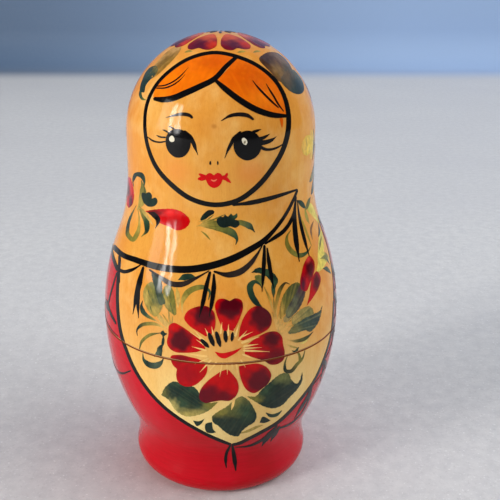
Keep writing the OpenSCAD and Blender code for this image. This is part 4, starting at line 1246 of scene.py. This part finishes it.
def paint_material(name, streak, scale):
    """Brush paint under lacquer: the film's own colour with streaks of thicker and thinner paint."""
    n = Nodes(name)
    own = n.put("ShaderNodeAttribute")
    own.attribute_name = "paint"
    p = n.scaled(n.put("ShaderNodeTexCoord").outputs["Object"], MM, MM, MM)
    mottle = n.noise(n.scaled(p, 1, 1, 0.6), scale, 4.0, 0.6)
    light = n.remap(mottle, 0.3, 0.72, 1 - streak, 1 + streak)
    grey = n.put("ShaderNodeCombineColor", Red=light, Green=light, Blue=light).outputs[0]
    colour = n.mix(1.0, own.outputs["Color"], grey, "MULTIPLY")
    rough = n.add(n.times(n.remap(mottle, 0.4, 0.8), 0.06), GLOSS)
    bump = n.put("ShaderNodeBump", Height=n.ripple(p), Strength=RIPPLE, Distance=RIPPLE_HIGH)
    return n.finish(Base_Color=colour, Roughness=rough, Normal=bump.outputs[0], IOR=LACQUER)


PAINTS = {"lines": paint_material("black brush lines", 0.25, 0.9),
          "flowers": paint_material("red flower paint", 0.16, 0.7),
          "leaves": paint_material("green leaf paint", 0.3, 1.1),
          "face": paint_material("hair and lip paint", 0.08, 0.6)}
# Each doll's share of the largest one's size, the height it stands at, and whether it has the fine strokes.
DOLLS = [("outer", 1.0, 0.0, True), ("second", 0.761, 6.0, True), ("third", 0.572, 10.566, True),
         ("fourth", 0.422, 13.998, False), ("smallest", 0.304, 16.53, False)]
upper = [s for s in (split(x, SEAM + BEVEL, True) for x in sheets) if s]
lower = [s for s in (split(x, SEAM - BEVEL, False) for x in sheets) if s]
for doll, size, stand, all_lines in DOLLS:
    whole = doll == "smallest"
    for half, parts in (("top", upper), ("bottom", lower)):
        body = "smallest_doll" if whole else "%s_%s_half" % (doll, half)
        for kind, paint in PAINTS.items():
            mine = [s for s in parts if s["kind"] == kind and (all_lines or not s["fine"])]
            if mine:
                piece = film("%s_%s_%s" % (doll, half, kind), mine, size, stand, paint)
                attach(piece, body)
        if not whole or half == "top":
            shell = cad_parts[body]
            shell.data.materials.clear()
            coat = shell_material(body + " lacquer", size, stand, "whole" if whole else half)
            shell.data.materials.append(coat)

# Camera at the photograph's place.
SENSOR, CLOSEST = 36.0, 0.01
lens = bpy.data.cameras.new("camera")
lens.sensor_fit, lens.sensor_width, lens.lens = "HORIZONTAL", SENSOR, SENSOR * FOCAL / FRAME
lens.shift_x = (MIDDLE - AXIS_COLUMN) / FRAME
lens.clip_start = CLOSEST
camera = bpy.data.objects.new("camera", lens)
camera.location = EYE / MM
camera.rotation_euler = (math.pi / 2 - PITCH, 0, 0)
scene.collection.objects.link(camera)
scene.camera = camera

# Floor that sweeps up into a wall far behind, in metres.
WALL_AT, SWEEP, WIDE, NEAR, TALL, FIRST = 0.92, 0.05, 2.4, -1.6, 1.6, 0.1
FLOOR_ROWS, SWEEP_ROWS, WALL_ROWS, COLUMNS = 24, 12, 10, 25
rows = [(y, 0.0) for y in np.linspace(NEAR, WALL_AT - SWEEP, FLOOR_ROWS)]
for a in np.linspace(FIRST, math.pi / 2, SWEEP_ROWS):
    rows.append((WALL_AT - SWEEP + SWEEP * math.sin(a), SWEEP - SWEEP * math.cos(a)))
rows += [(WALL_AT, z) for z in np.linspace(SWEEP + FIRST, TALL, WALL_ROWS)]
places = [(x, y, z) for y, z in rows for x in np.linspace(-WIDE, WIDE, COLUMNS)]
corners = [i * COLUMNS + j for i in range(len(rows) - 1) for j in range(COLUMNS - 1)]
mesh = bpy.data.meshes.new("backdrop")
mesh.from_pydata(places, [], [(c, c + 1, c + COLUMNS + 1, c + COLUMNS) for c in corners])
mesh.polygons.foreach_set("use_smooth", np.ones(len(mesh.polygons), bool))


def floor_material():
    """Pale stone with grains painted bright as glints, and the far wall's blue with painted shade to the
    left.
    """
    n = Nodes("pale studio floor")
    where = n.put("ShaderNodeTexCoord").outputs["Object"]
    x, y, _ = n.put("ShaderNodeSeparateXYZ", Vector=where).outputs
    grain, cloud = n.noise(where, 260.0, 3.0, 0.6), n.noise(where, 9.0, 3.0, 0.5)
    crystal = n.noise(where, 1100.0, 2.0, 0.7)
    stone = n.mix(n.remap(grain, 0.35, 0.75), rgb(200, 199, 199), rgb(216, 215, 214))
    stone = n.mix(n.times(n.remap(cloud, 0.35, 0.7), 0.35), stone, rgb(192, 191, 194))
    # The bright specks are pale grains of the stone, painted brighter as their glints.
    stone = n.mix(n.times(n.remap(crystal, 0.62, 0.74), 0.8), stone, rgb(240, 240, 240))
    stone = n.mix(n.times(n.remap(crystal, 0.42, 0.3), 0.35), stone, rgb(168, 166, 166))
    # The wall's blue is painted darker to the left as shade.
    wall = n.mix(n.remap(x, -0.35, 0.3, soft=True), rgb(84, 105, 132), rgb(152, 177, 212))
    colour = n.mix(n.remap(y, 0.77, 0.90, soft=True), stone, wall)
    return n.finish(Base_Color=colour, Roughness=n.remap(grain, 0.3, 0.8, 0.55, 0.75))


mesh.materials.append(floor_material())
backdrop = bpy.data.objects.new("backdrop", mesh)
scene.collection.objects.link(backdrop)

# Soft rectangular lamps that look at the doll: azimuth (0 in front, negative to the left), elevation,
# distance, width, height, watts, tint, and whether the lacquer mirrors them.
DAYLIGHT, WHITE, AIM = (1.0, 0.98, 0.95), (1.0, 1.0, 1.0), 0.075
LAMPS = {"window left": (-73.5, 16, 1.8, 0.40, 0.92, 6.6, DAYLIGHT, True),
         "window middle": (-61, 16, 1.8, 0.16, 0.92, 15.0, DAYLIGHT, True),
         "window right": (-52.5, 16, 1.8, 0.13, 0.92, 10.4, DAYLIGHT, True),
         "ceiling": (180, 70, 2.2, 2.5, 1.9, 22.5, WHITE, False),
         "side fill": (80, 38, 2.4, 2.2, 2.0, 42.0, WHITE, False)}
for name, (azimuth, elevation, distance, wide, tall, watts, tint, mirrored) in LAMPS.items():
    light = bpy.data.lights.new(name, "AREA")
    light.shape, light.size, light.size_y, light.energy, light.color = "RECTANGLE", wide, tall, watts, tint
    a, e = math.radians(azimuth), math.radians(elevation)
    lamp = bpy.data.objects.new(name, light)
    level = distance * math.cos(e)
    lamp.location = (level * math.sin(a), -level * math.cos(a), AIM + distance * math.sin(e))
    lamp.rotation_euler = (math.pi / 2 - e, 0, a)
    lamp.visible_glossy = mirrored
    scene.collection.objects.link(lamp)

# A dim room all round, and the wall's blue where the camera sees past the wall.
ROOM, ROOM_LEVEL, BEYOND = (0.92, 0.95, 1.0, 1.0), 0.12, (0.30, 0.41, 0.56, 1.0)
world = bpy.data.worlds.new("studio")
world.use_nodes = True
nodes, links = world.node_tree.nodes, world.node_tree.links
room = nodes["Background"]
room.inputs[0].default_value = ROOM
room.inputs[1].default_value = ROOM_LEVEL
beyond = nodes.new("ShaderNodeBackground")
beyond.inputs[0].default_value = BEYOND
which = nodes.new("ShaderNodeMixShader")
links.new(nodes.new("ShaderNodeLightPath").outputs["Is Camera Ray"], which.inputs[0])
links.new(room.outputs[0], which.inputs[1])
links.new(beyond.outputs[0], which.inputs[2])
links.new(which.outputs[0], nodes["World Output"].inputs[0])
scene.world = world
